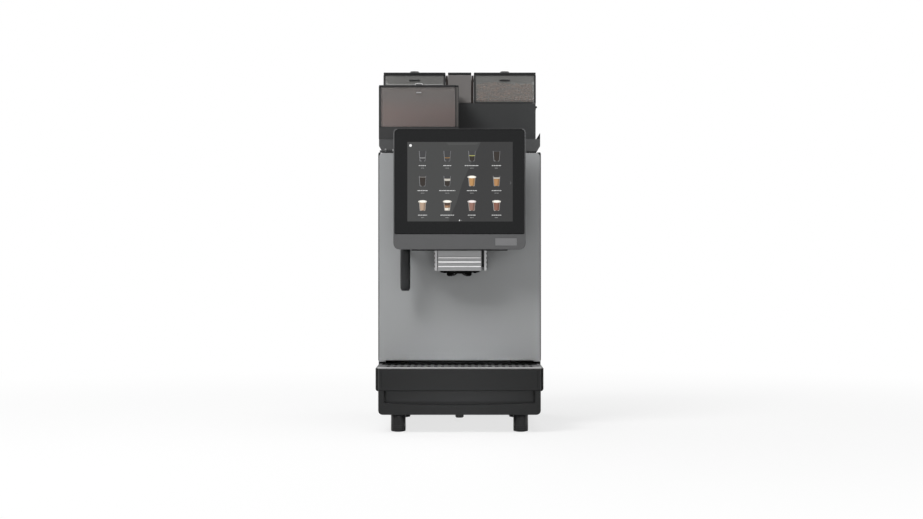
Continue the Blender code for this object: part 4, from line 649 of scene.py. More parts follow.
class Shape:
    """A piece in the making. Its sizes and places are in millimetres, and each step returns the shape."""

    def __init__(self) -> None:
        """Start with an empty mesh."""
        self.mesh = bmesh.new()

    def bevelled(self, verts: Iterable[bmesh.types.BMVert], width: float, segments: int = 2) -> Shape:
        """Round the edges at some vertices.

        Args:
            verts: The vertices.
            width: The rounding's width.
            segments: Its segments.

        Returns:
            The shape.
        """
        edges = list({edge for vert in verts for edge in vert.link_edges})
        bmesh.ops.bevel(
            self.mesh, geom=edges, offset=width * MM, offset_type="OFFSET", affect="EDGES",
            segments=segments, profile=0.5, material=-1,
        )
        return self

    def box(self, x: Span, y: Span, z: Span, rounding: float = 0.0) -> Shape:
        """Add a block.

        Args:
            x: Its two ends along X.
            y: Its two ends along Y.
            z: Its two ends along Z.
            rounding: The width of its edge rounding, or 0 for sharp edges.

        Returns:
            The shape.
        """
        centre = Matrix.Translation(Vector((sum(x), sum(y), sum(z))) * MM / 2)
        size = Matrix.Diagonal(((x[1] - x[0]) * MM, (y[1] - y[0]) * MM, (z[1] - z[0]) * MM, 1.0))
        made = bmesh.ops.create_cube(self.mesh, size=1.0, matrix=centre @ size)
        return self.bevelled(made["verts"], rounding) if rounding else self

    def prism(self, outline: Sequence[Point], span: Span) -> Shape:
        """Add a flat outline pulled along Y.

        Args:
            outline: The X and Z of the outline's corners.
            span: The pull's two ends.

        Returns:
            The shape.
        """
        corners = [self.mesh.verts.new(Vector((x, span[0], z)) * MM) for x, z in outline]
        face = self.mesh.faces.new(corners)
        pulled = bmesh.ops.extrude_face_region(self.mesh, geom=[face])["geom"]
        verts = [item for item in pulled if isinstance(item, bmesh.types.BMVert)]
        bmesh.ops.translate(self.mesh, verts=verts, vec=Vector((0.0, span[1] - span[0], 0.0)) * MM)
        return self

    def turning(self, profile: Sequence[Point], axis: str, centre: Point3, sides: int = 48) -> Shape:
        """Add a full turning of a profile.

        Args:
            profile: Radius and height of each corner, from one end on the axis to the other.
            axis: "X", "Y" or "Z".
            centre: A point on the axis.
            sides: How many steps the turn has.

        Returns:
            The shape.
        """
        index, start = "XYZ".index(axis), Vector(centre) * MM
        pole, arm = Vector((0.0, 0.0, 0.0)), Vector((0.0, 0.0, 0.0))
        pole[index] = arm[(index + 1) % 3] = 1.0
        steps = [(arm * radius + pole * height) * MM for radius, height in profile]
        corners = [self.mesh.verts.new(start + step) for step in steps]
        edges = [self.mesh.edges.new(pair) for pair in zip(corners, corners[1:])]
        bmesh.ops.spin(
            self.mesh, geom=corners + edges, cent=start, axis=pole, dvec=(0.0, 0.0, 0.0),
            angle=math.tau, steps=sides, use_merge=True, use_normal_flip=False, use_duplicate=False,
        )
        bmesh.ops.remove_doubles(self.mesh, verts=self.mesh.verts, dist=WELD)
        return self

    def tube(self, route: Iterable[Sequence[float]], radius: float, sides: int = 8) -> Shape:
        """Add a tube along a route, whose corners are rounded.

        Args:
            route: The corners of the centre line.
            radius: The tube's radius.
            sides: The sides of its section.

        Returns:
            The shape.
        """
        points = [Vector(point) * MM for point in route]
        for _ in range(3):
            pairs = zip(points, points[1:])
            cuts = [first.lerp(second, share) for first, second in pairs for share in (0.25, 0.75)]
            points = [points[0], *cuts, points[-1]]
        previous: list[bmesh.types.BMEdge] = []
        ends = (0, len(points) - 1)
        for number, point in enumerate(points):
            heading = points[min(ends[1], number + 1)] - points[max(0, number - 1)]
            turn = heading.to_track_quat("Z", "Y").to_matrix().to_4x4()
            ring = bmesh.ops.create_circle(
                self.mesh, cap_ends=number in ends, segments=sides, radius=radius * MM,
                matrix=Matrix.Translation(point) @ turn,
            )["verts"]
            edges = list({edge for vert in ring for edge in vert.link_edges if edge.other_vert(vert) in ring})
            if previous:
                bmesh.ops.bridge_loops(self.mesh, edges=previous + edges)
            previous = edges
        return self

    def made(
        self, name: str, body: str, finish: Finish, slot: str, replaces: str = "", sealed: bool = False
    ) -> bpy.types.Object:
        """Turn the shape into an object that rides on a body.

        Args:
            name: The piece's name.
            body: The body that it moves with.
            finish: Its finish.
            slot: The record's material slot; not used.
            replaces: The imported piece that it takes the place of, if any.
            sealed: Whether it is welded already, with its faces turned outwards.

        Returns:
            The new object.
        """
        if not sealed:
            bmesh.ops.remove_doubles(self.mesh, verts=self.mesh.verts, dist=WELD)
            bmesh.ops.recalc_face_normals(self.mesh, faces=self.mesh.faces)
        data = bpy.data.meshes.new(name)
        self.mesh.to_mesh(data)
        self.mesh.free()
        data.shade_smooth()
        data.set_sharp_from_angle(angle=SMOOTH_LIMIT)
        data.materials.append(Palette.get(finish))
        piece = bpy.data.objects.new(name, data)
        bpy.context.scene.collection.objects.link(piece)
        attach(piece, body)
        if replaces:
            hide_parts(replaces)
        LOG.info("made %s", name)
        return piece


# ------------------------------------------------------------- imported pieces


@dataclass(frozen=True)
class Dressing:
    """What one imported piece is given.

    Attributes:
        finish: Its finish.
        rounding: The width of its edge rounding in millimetres.
        segments: The rounding's segments.
    """

    finish: Finish
    rounding: float = 0.5
    segments: int = 2


@dataclass
class Casework:
    """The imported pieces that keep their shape, with rounded edges and finishes.

    Attributes:
    """

    frame: dict

    def dressings(self) -> dict[str, Dressing]:
        """List what each piece is given.

        Returns:
            The finish and rounding of each piece, by its name.
        """
        black, inner = Palette.BLACK, Palette.INNER
        return {
            "base_pan": Dressing(black, 1.2, 3),
            "side_panel_left": Dressing(Palette.SIDE, 0.8),
            "side_panel_right": Dressing(Palette.SIDE, 0.8),
            "rear_panel": Dressing(Palette.SIDE, 0.6),
            "top_deck": Dressing(Palette.DECK, 1.0, 3),
            "hopper_pedestal": Dressing(Palette.PEDESTAL, 1.4, 3),
            "inner_bulkhead": Dressing(Palette.ZINC, 0.3),
            "boiler": Dressing(Palette.MOTOR, 0.8),
            "pump": Dressing(Palette.BRASS, 0.6),
            "brew_frame": Dressing(inner, 0.6),
            "brew_motor": Dressing(Palette.MOTOR, 0.6),
            "grinder_left": Dressing(Palette.CAST, 0.6),
            "grinder_right": Dressing(Palette.CAST, 0.6),
            "mixer_bowl": Dressing(Palette.WHITE, 0.5),
            "mixer_motor": Dressing(Palette.MOTOR, 0.6),
            "fan_frame": Dressing(inner, 0.5),
            "main_board": Dressing(Palette.BOARD, 0.2, 1),
            "power_supply": Dressing(Palette.ZINC, 0.4),
            "power_inlet": Dressing(inner, 0.5),
            "grounds_bin": Dressing(inner, 1.0),
            "bean_chute": Dressing(Palette.CHUTE, 0.8),
            "hinge_pin_upper": Dressing(Palette.CHROME, 0.3),
            "hinge_pin_lower": Dressing(Palette.CHROME, 0.3),
            "grinder_burr_left": Dressing(Palette.STEEL, 0.1, 1),
            "grinder_burr_right": Dressing(Palette.STEEL, 0.1, 1),
            "whipper": Dressing(Palette.WHITE, 0.2, 1),
            "fan_rotor": Dressing(inner, 0.3),
            "brew_piston": Dressing(Palette.WHITE, 0.4),
            "power_switch": Dressing(inner, 0.5),
            "front_panel": Dressing(Palette.PANEL, 0.8, 3),
            "door_liner": Dressing(black, 0.8),
            "screen_housing": Dressing(Palette.CHIN, 1.2, 3),
            "screen_glass": Dressing(Palette.GLASS, 0.5, 3),
            "display_panel": Dressing(inner, 0.3),
            "screen_mount": Dressing(black, 1.0, 3),
            "wand_elbow": Dressing(black, 0.8, 3),
            "spout_body": Dressing(black, 0.8, 3),
            "spout_nozzles": Dressing(black, 0.8, 3),
            "drip_tray": Dressing(black, 1.0, 3),
            "drip_grid": Dressing(Palette.GRID, 0.5),
            "tray_float": Dressing(Palette.RED, 0.4),
            "bean_hopper_left": Dressing(Palette.SMOKE, 0.8),
            "bean_hopper_right": Dressing(Palette.SMOKE, 0.8),
            "bean_lid_left": Dressing(Palette.LID, 1.0, 3),
            "bean_lid_right": Dressing(Palette.LID, 1.0, 3),
            "bean_gate_left": Dressing(inner, 0.4),
            "bean_gate_right": Dressing(inner, 0.4),
            "powder_hopper": Dressing(Palette.POWDER_SMOKE, 0.8),
            "powder_lid": Dressing(Palette.LID, 0.8, 3),
            "powder_auger": Dressing(Palette.WHITE, 0.1, 1),
            "chute_lid": Dressing(Palette.LID, 1.0, 3),
        }

    def build(self) -> None:
        """Make the finished copy of each piece."""
        slots = {part["node"]: part["material_slot"] for part in self.frame["record"]["subparts"]}
        for name, dressing in self.dressings().items():
            node, copy = self.frame["nodes"][name], Shape()
            copy.mesh.from_mesh(node.data)
            bmesh.ops.remove_doubles(copy.mesh, verts=copy.mesh.verts, dist=WELD)
            bmesh.ops.dissolve_limit(
                copy.mesh, angle_limit=math.radians(0.4), use_dissolve_boundaries=False,
                verts=copy.mesh.verts, edges=copy.mesh.edges, delimit=set(),
            )
            piece = copy.made(
                f"{name}_finished", node["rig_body"], dressing.finish, slots[name], name, sealed=True
            )
            soften(piece, dressing.rounding, dressing.segments)
        LOG.info("dressed the packed pieces")


# ---------------------------------------------------------------- touch screen


@dataclass(frozen=True)
class Drink:
    """One drink on the menu.

    Attributes:
        name: A plain name for its pieces.
        bars: The widths of the two placeholder bars under it.
        bands: The bottom, top and colour of each band in the glass, as shares of its height.
        froth: The froth's colour, or None.
    """

    name: str
    bars: tuple[float, float]
    bands: tuple[tuple[float, float, Colour], ...]
    froth: Colour | None = None


@dataclass
class TouchScreen:
    """The lit display, its rim and the bare badge plate.

    Attributes:
        front: The Y of the cover glass.
        body: The body that it swings with.
        half_width: Half the width of the lit area.
        bottom: The height of its foot.
        top: The height of its top.
        columns: The X of each column of drinks.
        rows: The Z of each row.
        cup_height: The height of a glass.
        cup_top: Half the width of a glass at its top.
        cup_foot: Half its width at its foot.
        layer: The thickness of a lit layer.
    """

    front: float
    body: str = "door"
    half_width: float = 105.6
    bottom: float = 414.3
    top: float = 572.5
    columns: tuple[float, ...] = (-73.5, -24.5, 24.5, 73.5)
    rows: tuple[float, ...] = (544.5, 494.8, 446.1)
    cup_height: float = 21.5
    cup_top: float = 7.7
    cup_foot: float = 6.0
    layer: float = 0.08

    def drinks(self) -> list[Drink]:
        """List the menu.

        Returns:
            The drinks, row by row.
        """
        clear, dark = (0.07, 0.07, 0.072), (0.045, 0.036, 0.03)
        cream, froth = (0.74, 0.7, 0.62), (0.78, 0.75, 0.68)
        amber, green, rosy = (0.36, 0.2, 0.07), (0.5, 0.5, 0.16), (0.7, 0.64, 0.63)
        layers = ((0.05, 0.3, cream), (0.3, 0.52, (0.32, 0.18, 0.1)), (0.52, 0.78, (0.11, 0.07, 0.05)))
        return [
            Drink("water", (15, 6), ((0.05, 0.3, clear), (0.3, 0.36, (0.5, 0.5, 0.5)))),
            Drink("tea", (16, 7), ((0.05, 0.3, clear), (0.3, 0.38, amber))),
            Drink("ristretto", (28, 8), ((0.05, 0.5, dark), (0.5, 0.58, green))),
            Drink("espresso", (19, 7), ((0.05, 0.9, dark),)),
            Drink("lungo", (20, 7), ((0.05, 0.84, dark), (0.84, 0.9, (0.3, 0.28, 0.26)))),
            Drink("macchiato", (32, 8), ((0.05, 0.52, dark), (0.52, 0.72, cream))),
            Drink("cappuccino", (20, 7), ((0.05, 0.82, (0.42, 0.23, 0.09)),), froth),
            Drink("milk_coffee", (19, 8), ((0.05, 0.72, (0.38, 0.2, 0.085)), (0.72, 0.84, cream))),
            Drink("latte", (18, 6), ((0.05, 0.86, (0.4, 0.29, 0.21)),), froth),
            Drink("layered_latte", (27, 7), layers, froth),
            Drink("chocolate", (16, 7), ((0.05, 0.82, (0.26, 0.14, 0.11)),), rosy),
            Drink("mocha", (19, 7), ((0.05, 0.82, (0.22, 0.1, 0.07)),), froth),
        ]

    def patch(self, name: str, outlines: Iterable[Sequence[Point]], level: int, colour: Colour) -> None:
        """Add flat lit patches in one colour.

        Args:
            name: The piece's name.
            outlines: The outline of each patch in X and Z.
            level: The layer that they lie on, 0 for the display's face.
            colour: The colour that they shine in.
        """
        patches = Shape()
        back = self.front - 0.02 - level * self.layer
        for outline in outlines:
            patches.prism(outline, (back - self.layer, back))
        patches.made(name, self.body, Lit(f"lit_{name}", colour, 0.1), "display")

    def disc(self, x: float, z: float, radius: float, sides: int = 20) -> list[Point]:
        """Return a round outline."""
        turn = math.tau / sides
        return [(x + radius * math.cos(n * turn), z + radius * math.sin(n * turn)) for n in range(sides)]

    def face(self) -> None:
        """Add the display's dark face, the lighter wallpaper that crosses it and a painted sheen along its
        top.
        """
        half, low, high, edge = self.half_width, self.bottom, self.top, 0.6
        left = -half + 1.7
        face = [(left, low), (half, low), (half, high), (left, high)]
        self.patch("display_face", [face], 0, (0.036, 0.036, 0.0365))
        slope = [
            (left + edge, low + edge), (-22, low + edge), (-6, 452), (6, 492), (22, 528),
            (42, high - edge), (left + edge, high - edge),
        ]
        self.patch("display_wallpaper", [slope], 1, (0.054, 0.055, 0.0545))
        # A lighter band near the top: a painted sheen on the glass.
        sheen = [(-22, 566), (34, 567), (38, 571), (-26, 571)]
        self.patch("display_painted_sheen", [sheen], 2, (0.068, 0.069, 0.068))

    def marks(self) -> None:
        """Add the home dot, the page dots and the arrow to the next page."""
        dots = [self.disc(-97.4, 565.3, 2.7), self.disc(0.0, 416.6, 1.2, 12)]
        self.patch("display_dots", dots, 2, (0.8, 0.8, 0.8))
        self.patch("display_idle_dot", [self.disc(4.0, 416.6, 0.9, 12)], 2, (0.16, 0.16, 0.16))
        x, z, size, width = 100.0, 491.0, 3.2, 0.5
        arrow = [
            (x, z + size), (x + size, z), (x, z - size), (x, z - size + 2 * width),
            (x + size - 2 * width, z), (x, z + size - 2 * width),
        ]
        self.patch("display_arrow", [arrow], 2, (0.13, 0.13, 0.13))

    def side(self, x: float, z: float, share: float, inset: float = 0.0) -> tuple[Point, Point]:
        """Find the two points of a cup at one height.

        Args:
            x: The middle of the cup.
            z: Its middle height.
            share: The height, as a share of the cup's.
            inset: How far the points are inside its outline.

        Returns:
            The left and the right point.
        """
        half = self.cup_foot + (self.cup_top - self.cup_foot) * share - inset
        level = z - self.cup_height / 2 + share * self.cup_height
        return (x - half, level), (x + half, level)

    def band(self, x: float, z: float, low: float, high: float, inset: float) -> list[Point]:
        """Outline a cup's contents between two heights, sagging a little.

        Args:
            x: The middle of the cup.
            z: Its middle height.
            low: The lower height, as a share of the cup's.
            high: The upper height, likewise.
            inset: How far the contents are inside the cup's outline.

        Returns:
            The outline.
        """
        sag = 0.35
        first, second = self.side(x, z, low, inset)
        third, fourth = self.side(x, z, high, inset)
        foot, top = (second[0] - x) / 2, (fourth[0] - x) / 2
        under = [(x - foot, first[1] - sag), (x + foot, first[1] - sag)]
        over = [(x + top, third[1] - sag), (x - top, third[1] - sag)]
        return [first, *under, second, fourth, *over, third]

    def cup(self, drink: Drink, x: float, z: float) -> None:
        """Add one drink in its glass.

        Args:
            drink: The drink.
            x: The middle of the glass.
            z: Its middle height.
        """
        wall = 0.55
        self.patch(f"{drink.name}_glass", [self.band(x, z, 0.0, 0.98, 0.0)], 2, (0.05, 0.05, 0.052))
        for number, (low, high, colour) in enumerate(drink.bands):
            layer = self.band(x, z, low, high, 2 * wall)
            self.patch(f"{drink.name}_drink_{number}", [layer], 3, shade(colour, 0.7))
            if colour[0] > 0.2 and high - low > 0.2:
                glow = self.band(x - 1.2, z, low + 0.03, high - 0.03, 3.4)
                self.patch(f"{drink.name}_glow_{number}", [glow], 4, shade(colour, 1.1))
        if drink.froth:
            self.froth(drink, x, z)
        shine = []
        for low, high, thick in zip(self.side(x, z, 0.04, wall), self.side(x, z, 0.96, wall), (0.9, -0.5)):
            shine.append([low, (low[0] + thick, low[1]), (high[0] + thick, high[1]), high])
        (left, foot), (right, _) = self.side(x, z, 0.015, 1.4)
        shine.append([(left, foot), (left + 3.0, foot), (left + 2.4, foot + 0.9), (left, foot + 1.3)])
        shine.append([(right - 2.0, foot), (right, foot), (right, foot + 1.1), (right - 1.6, foot + 0.7)])
        self.patch(f"{drink.name}_shine", shine, 5, (0.4, 0.37, 0.34) if drink.froth else (0.24, 0.24, 0.25))

    def froth(self, drink: Drink, x: float, z: float) -> None:
        """Add the domed froth on a drink, with a lighter middle.

        Args:
            drink: The drink.
            x: The middle of the glass.
            z: Its middle height.
        """
        half, low, rise, steps = self.cup_top + 0.9, z + 0.26 * self.cup_height, 5.2, 12
        for layer, (share, colour) in enumerate(((1.0, drink.froth), (0.72, shade(drink.froth, 1.25)))):
            turns = [math.pi * step / steps for step in range(steps + 1)]
            dome = [
                (x + half * share * math.cos(turn), low + rise * (0.45 + share * 0.5 * math.sin(turn)))
                for turn in turns
            ]
            side, foot, dip = half * share * 0.9, low + rise * 0.12, low - 0.4 + (1 - share) * rise * 0.6
            dome += [(x - side, foot), (x, dip), (x + side, foot)]
            self.patch(f"{drink.name}_froth_{layer}", [dome], 4 + layer, colour)

    def bars(self, drink: Drink, x: float, z: float, chance: random.Random) -> None:
        """Add the two rows of short placeholder dashes under a drink.

        Args:
            drink: The drink.
            x: The middle of the glass.
            z: Its middle height.
            chance: What the dashes' lengths come from.
        """
        rows = ((drink.bars[0], z - 19.9, 1.5, 0.55), (drink.bars[1], z - 24.6, 1.0, 0.27))
        for number, (width, level, height, grey) in enumerate(rows):
            dashes, start = [], x - width / 2
            while start < x + width / 2 - 0.5:
                end = min(start + chance.uniform(2.0, 6.5), x + width / 2)
                dashes.append([(start, level), (end, level), (end, level + height), (start, level + height)])
                start = end + 0.7
            self.patch(f"{drink.name}_bar_{number}", dashes, 2, (grey, grey, grey))

    def badge(self) -> None:
        """Add the bare badge plate at the lower right of the frame."""
        plate = Shape().box((71, 114), (self.front - 0.7, self.front + 0.2), (366.4, 381.2))
        soften(plate.made("badge_plate", self.body, Palette.PLATE, "screen_frame"), 0.5, 3)

    def trim(self) -> None:
        """Add the glass's seals, the lip behind the frame's lower edge and the frame's screws."""
        depth = (self.front - 0.12, self.front + 0.3)
        seal = Shape().box(around(0, 127.5), depth, (388.9, 389.9)).box(around(0, 124), depth, (596.4, 598.7))
        seal.made("glass_seal", self.body, Palette.RUBBER, "screen_frame")
        lip = Shape().box(around(0, 96), (-189, -128), (356.6, 358.5))
        soften(lip.made("mount_lip", self.body, Palette.RUBBER, "body_black"), 0.5)
        screws = Shape()
        for x in (-60, 0, 60):
            screws.turning([(0, 0), (2.6, 0), (2.6, 1.2), (1.4, 1.6), (0, 1.6)], "Y", (x, -185.2, 377), 20)
        screws.made("frame_screws", self.body, Palette.STEEL, "stainless")

    def build(self) -> None:
        """Build the screen's detail."""
        chance = random.Random(4)
        self.face()
        self.marks()
        places = [(x, z) for z in self.rows for x in self.columns]
        for drink, (x, z) in zip(self.drinks(), places):
            self.cup(drink, x, z)
            self.bars(drink, x, z, chance)
        self.badge()
        self.trim()
        LOG.info("built the touch screen")


# ----------------------------------------------------------------- outlet, wand


@dataclass
class Outlet:
    """The cover, the bright ribs, the scalloped cheeks and the nozzles of the outlet.

    Attributes:
        body: The body that it slides with.
        front: The Y of the cover's face.
        low: The height of the cover's foot.
        high: The height of the cheeks' top.
        width: The cover's two sides.
        thickness: The cover's thickness.
        strips: The name, place over the foot, height and whiteness of each bright strip; the whiteness
            differs from strip to strip as painted light.
        sides: The name, inner side and outer side of each cheek.
        pitch: The height of one scallop.
        outlets: The X of each coffee nozzle.
    """

    body: str = "spout"
    front: float = -182.0
    low: float = 316.0
    high: float = 444.0
    width: Span = (-43.3, 43.8)
    thickness: float = 9.5
    strips: tuple[tuple[str, float, float, float], ...] = (
        ("low", 7.2, 3.0, 1.0), ("mid", 16.0, 3.6, 0.95), ("high", 24.6, 3.4, 0.62),
    )
    sides: tuple[tuple[str, float, float], ...] = (("left", -44.3, -50.3), ("right", 49.2, 54.6))
    pitch: float = 8.6
    outlets: Span = (-18.65, 17.35)

    def cover(self) -> None:
        """Build the plain front cover, with rounded corners."""
        depth = (self.front, self.front + self.thickness)
        cover = Shape().box(self.width, depth, (self.low, self.high + 2))
        piece = cover.made("spout_cover_finished", self.body, Palette.SPOUT, "spout_silver", "spout_cover")
        soften(piece, 0.8, 3)

    def ribs(self) -> None:
        """Add the polished strips on the cover's ribs, painted in different whites as light, brightest at the
        bottom.
        """
        for name, rise, height, white in self.strips:
            level = (self.low + rise, self.low + rise + height)
            rib = Shape().box((-42.6, 42.8), (self.front - 1.9, self.front + 0.4), level)
            # Each strip's white is painted light: one polished metal given lit and shaded copies.
            finish = Metal(f"rib_{name}", (white, white, white), 0.12)
            soften(rib.made(f"cover_rib_{name}", self.body, finish, "spout_silver"), 0.7, 3)

    def cheeks(self) -> None:
        """Add the pale front edge of each cheek, with its row of scallops."""
        steps = 84
        for name, inner, outer in self.sides:
            wave = []
            for step in range(steps + 1):
                height = self.low + 0.6 + (self.high - self.low - 3) * step / steps
                dip = abs(math.sin(math.pi * (height - self.low) / self.pitch))
                wave.append((outer + (inner - outer) * 0.28 * (1 - dip), height))
            outline = [(inner, wave[0][1]), *wave, (inner, wave[-1][1])]
            cheek = Shape().prism(outline, (self.front - 1.1, self.front + 0.3))
            soften(cheek.made(f"cheek_{name}", self.body, Palette.CHEEK, "spout_silver"), 0.3)

    def nozzles(self) -> None:
        """Add the coffee nozzles' collars, the milk arms and the lip that they hang from."""
        edge = (
            (-41, 0.5), (-37, -3.2), (-28, -4.6), (-22, -2.2), (-18, -5.2),
            (17, -5.6), (22, -2.4), (31, -4.6), (39, -2.6), (41.5, 0.5),
        )
        lip = Shape().prism([(x, self.low + rise) for x, rise in edge], (self.front + 1, self.front + 44))
        soften(lip.made("nozzle_lip", self.body, Palette.VOID, "body_black"), 0.5)
        profile = [(0, -10.6), (3.0, -10.6), (5.6, -9.4), (6.9, -7.2), (7.4, -2.0), (7.4, 0.0), (0, 0.0)]
        collars, arms = Shape(), Shape()
        for x in self.outlets:
            collars.turning(profile, "Z", (x, -155.2, self.low - 0.4), 32)
        collars.made("nozzle_collars", self.body, Palette.VOID, "body_black")
        for side in (-1, 1):
            corners = ((4, -176, -2), (9, -173, -8), (15, -165, -8.5))
            arms.tube([(side * x, y, self.low + drop) for x, y, drop in corners], 1.6, 10)
        arms.made("milk_arms", self.body, Palette.GLOSSY, "body_black")

    def build(self) -> None:
        """Build the outlet's detail."""
        self.cover()
        self.ribs()
        self.cheeks()
        self.nozzles()
        LOG.info("built the outlet")


@dataclass
class Wand:
    """The hot water wand.

    Attributes:
        body: The body that it swings with.
        radius: The most that its tube's radius may be.
        teeth: How many teeth its end has.
    """

    body: str = "wand"
    radius: float = 10.0
    teeth: int = 8

    def build(self) -> None:
        """Turn the wand's tube with its rounded, notched end."""
        centre, radius, tall = upright("wand_tube")
        radius = min(self.radius, radius)
        profile = [
            (0, 2.5), (3, 2.5), (3.2, 0.2), (6.6, 0.0), (7.8, 0.7), (8.2, 2.6), (8.7, 3.0),
            (radius - 0.4, 4.0), (radius, 6.0), (radius, 22), (radius - 0.25, 22.6), (radius, 23.2),
            (radius, tall - 7), (radius * 0.8, tall - 2.4), (radius * 0.5, tall), (0, tall),
        ]
        tube = Shape().turning(profile, "Z", centre, 64)
        tube.made("wand_finished", self.body, Palette.WAND, "wand_black", "wand_tube")
        teeth, size = Shape(), Matrix.Diagonal((1.4 * MM, 1.6 * MM, 1.8 * MM, 1))
        foot, reach = Matrix.Translation(Vector(centre) * MM), Matrix.Translation((7.7 * MM, 0, 1.9 * MM))
        for step in range(self.teeth):
            place = foot @ Matrix.Rotation(math.tau * step / self.teeth, 4, "Z") @ reach @ size
            teeth.bevelled(bmesh.ops.create_cube(teeth.mesh, size=1.0, matrix=place)["verts"], 0.3, 1)
        teeth.made("wand_teeth", self.body, Palette.RUBBER, "wand_black")
        LOG.info("built the wand")


# ---------------------------------------------------------------- food hoppers


@dataclass
class BeanHopper:
    """The fill, rims and seals of one bean hopper.

    Attributes:
        side: "left" or "right".
        fill: The height of the beans over the hopper's floor, or 0 where it is empty.
        seed: The seed of the beans' places.
        wall: The hopper's wall.
        bean: The length of a bean.
    """

    side: str
    fill: float
    seed: int = 11
    wall: float = 2.5
    bean: float = 11.0

    @property
    def body(self) -> str:
        """Return the hopper's body."""
        return f"{self.side}_hopper"

    @property
    def ends(self) -> tuple[Vector, Vector]:
        """Return the hopper's lowest and highest corner."""
        return extent(f"bean_hopper_{self.side}")

    def pattern(self) -> bpy.types.Mesh:
        """Make the mesh that the beans are copied from: a flattened oval with a crease.

        Returns:
            The mesh, 2 long and round its own middle.
        """
        shape = bmesh.new()
        for vert in bmesh.ops.create_uvsphere(shape, u_segments=8, v_segments=6, radius=1.0)["verts"]:
            if vert.co.z > 0.2:
                vert.co.z -= 0.42 * max(0.0, 1 - abs(vert.co.y) * 3.4)
            elif vert.co.z < 0:
                vert.co.z *= 0.75
        data = bpy.data.meshes.new(f"bean_pattern_{self.side}")
        shape.to_mesh(data)
        shape.free()
        return data

    def drop(self, heap: Shape, pattern: bpy.types.Mesh, place: Vector, chance: random.Random) -> None:
        """Add one bean.

        Args:
            heap: The shape to add to.
            pattern: The bean that is copied.
            place: Where it lies.
            chance: What its turn and size come from.
        """
        size = chance.uniform(0.86, 1.12) * self.bean / 2 * MM
        turn = Matrix.Rotation(chance.uniform(0, math.tau), 4, "Z")
        turn = turn @ Matrix.Rotation(chance.uniform(-0.8, 0.8), 4, "X")
        turn = turn @ Matrix.Rotation(chance.uniform(-0.7, 0.7) + chance.choice((0.0, math.pi)), 4, "Y")
        move = Matrix.Translation(place * MM) @ turn @ Matrix.Diagonal((size, size * 0.68, size * 0.5, 1.0))
        pattern.transform(move)
        heap.mesh.from_mesh(pattern)
        pattern.transform(move.inverted())

    def spots(self, x: Span, y: Span, floor: float, top: float) -> list[Vector]:
        """Return where beans lie: along the front and the side walls, and all over the top.

        Args:
            x: The room between the side walls.
            y: The room from front to back.
            floor: The hopper's floor.
            top: The height of the fill.

        Returns:
            The places, layer by layer.
        """
        step, inset = self.bean * 0.66, self.bean * 0.5
        found: list[Vector] = []
        level = floor + inset * 0.6
        while level < top:
            across = x[0] + inset
            while across < x[1] - inset * 0.8:
                found.append(Vector((across, y[0] + inset * 0.85, level)))
                across += step
            along = y[0] + inset + step
            while along < y[1] - inset * 0.8:
                found += [Vector((side, along, level)) for side in within(*x, inset * 0.85)]
                along += step
            level += step * 0.8
        across = x[0] + inset
        while across < x[1] - inset * 0.6:
            along = y[0] + inset
            while along < y[1] - inset * 0.6:
                wave = 3 * math.sin(across * 0.06) * math.cos(along * 0.045)
                found.append(Vector((across, along, top - 2 + wave)))
                along += step
            across += step
        return found

    def heap(self) -> None:
        """Fill the hopper with beans, round a rough core."""
        low, high = self.ends
        chance = random.Random(self.seed)
        x, y = within(low.x, high.x, self.wall + 0.4), within(low.y, high.y, self.wall + 0.4)
        floor = low.z + 4.5
        top = floor + self.fill
        core = Shape().box(within(*x, 5), within(*y, 5), (floor, top - 6))
        bmesh.ops.subdivide_edges(core.mesh, edges=list(core.mesh.edges), cuts=12, use_grid_fill=True)
        for vert in core.mesh.verts:
            vert.co += Vector([chance.uniform(-1.2, 1.2) for _ in range(3)]) * MM
        core.made(f"bean_core_{self.side}", self.body, Palette.BEANS, "inner_black")
        beans, pattern, inset = Shape(), self.pattern(), self.bean * 0.5
        for spot in self.spots(x, y, floor, top):
            place = spot + Vector([chance.uniform(-0.18, 0.18) * self.bean for _ in range(3)])
            place.x = min(max(place.x, x[0] + inset), x[1] - inset)
            place.y = min(max(place.y, y[0] + inset * 0.8), y[1] - inset)
            place.z = min(max(place.z, floor + inset * 0.5), high.z - 8)
            self.drop(beans, pattern, place, chance)
        bpy.data.meshes.remove(pattern)
        beans.made(f"beans_{self.side}", self.body, Palette.BEANS, "inner_black")

    def trim(self) -> None:
        """Add the rim under the lid, the corner posts, the foot band and the catch."""
        low, high = self.ends
        skin, post = 0.35, 4.2
        x, y = within(low.x, high.x, -skin), within(low.y, high.y, -skin)
        front, upright = (y[0], y[0] + skin), within(low.z, high.z, 0.2)
        bands = ((high.z - 1.7, high.z - 0.2), (low.z + 0.1, low.z + 2.2))
        edges = ((x[0], x[0] + skin), (x[1] - skin, x[1]))
        trim = Shape()
        for band in bands:
            trim.box(x, front, band)
        for face, width in zip(edges, ((x[0], x[0] + post), (x[1] - post, x[1]))):
            trim.box(width, front, upright)
            trim.box(face, (y[0], y[0] + 4), upright)
        for edge in edges:
            for band in bands:
                trim.box(edge, y, band)
        trim.made(f"hopper_trim_{self.side}", self.body, Palette.RIM, "hopper_smoke")
        width = around(middle(low, high)[0], 11)
        catch = Shape().box(width, (low.y - 1.0, low.y + 0.2), (high.z - 12.6, high.z - 9.6))
        soften(catch.made(f"hopper_catch_{self.side}", self.body, Palette.LID, "lid_grey"), 0.4)

    def liner(self) -> None:
        """Add the opaque back wall inside the hopper."""
        low, high = self.ends
        gap = self.wall + 0.3
        liner = Shape().box(
            within(low.x, high.x, gap), (high.y - gap - 0.6, high.y - gap), (low.z + 4.2, high.z - 7.2)
        )
        liner.made(f"hopper_back_{self.side}", self.body, Palette.LINER, "hopper_smoke")

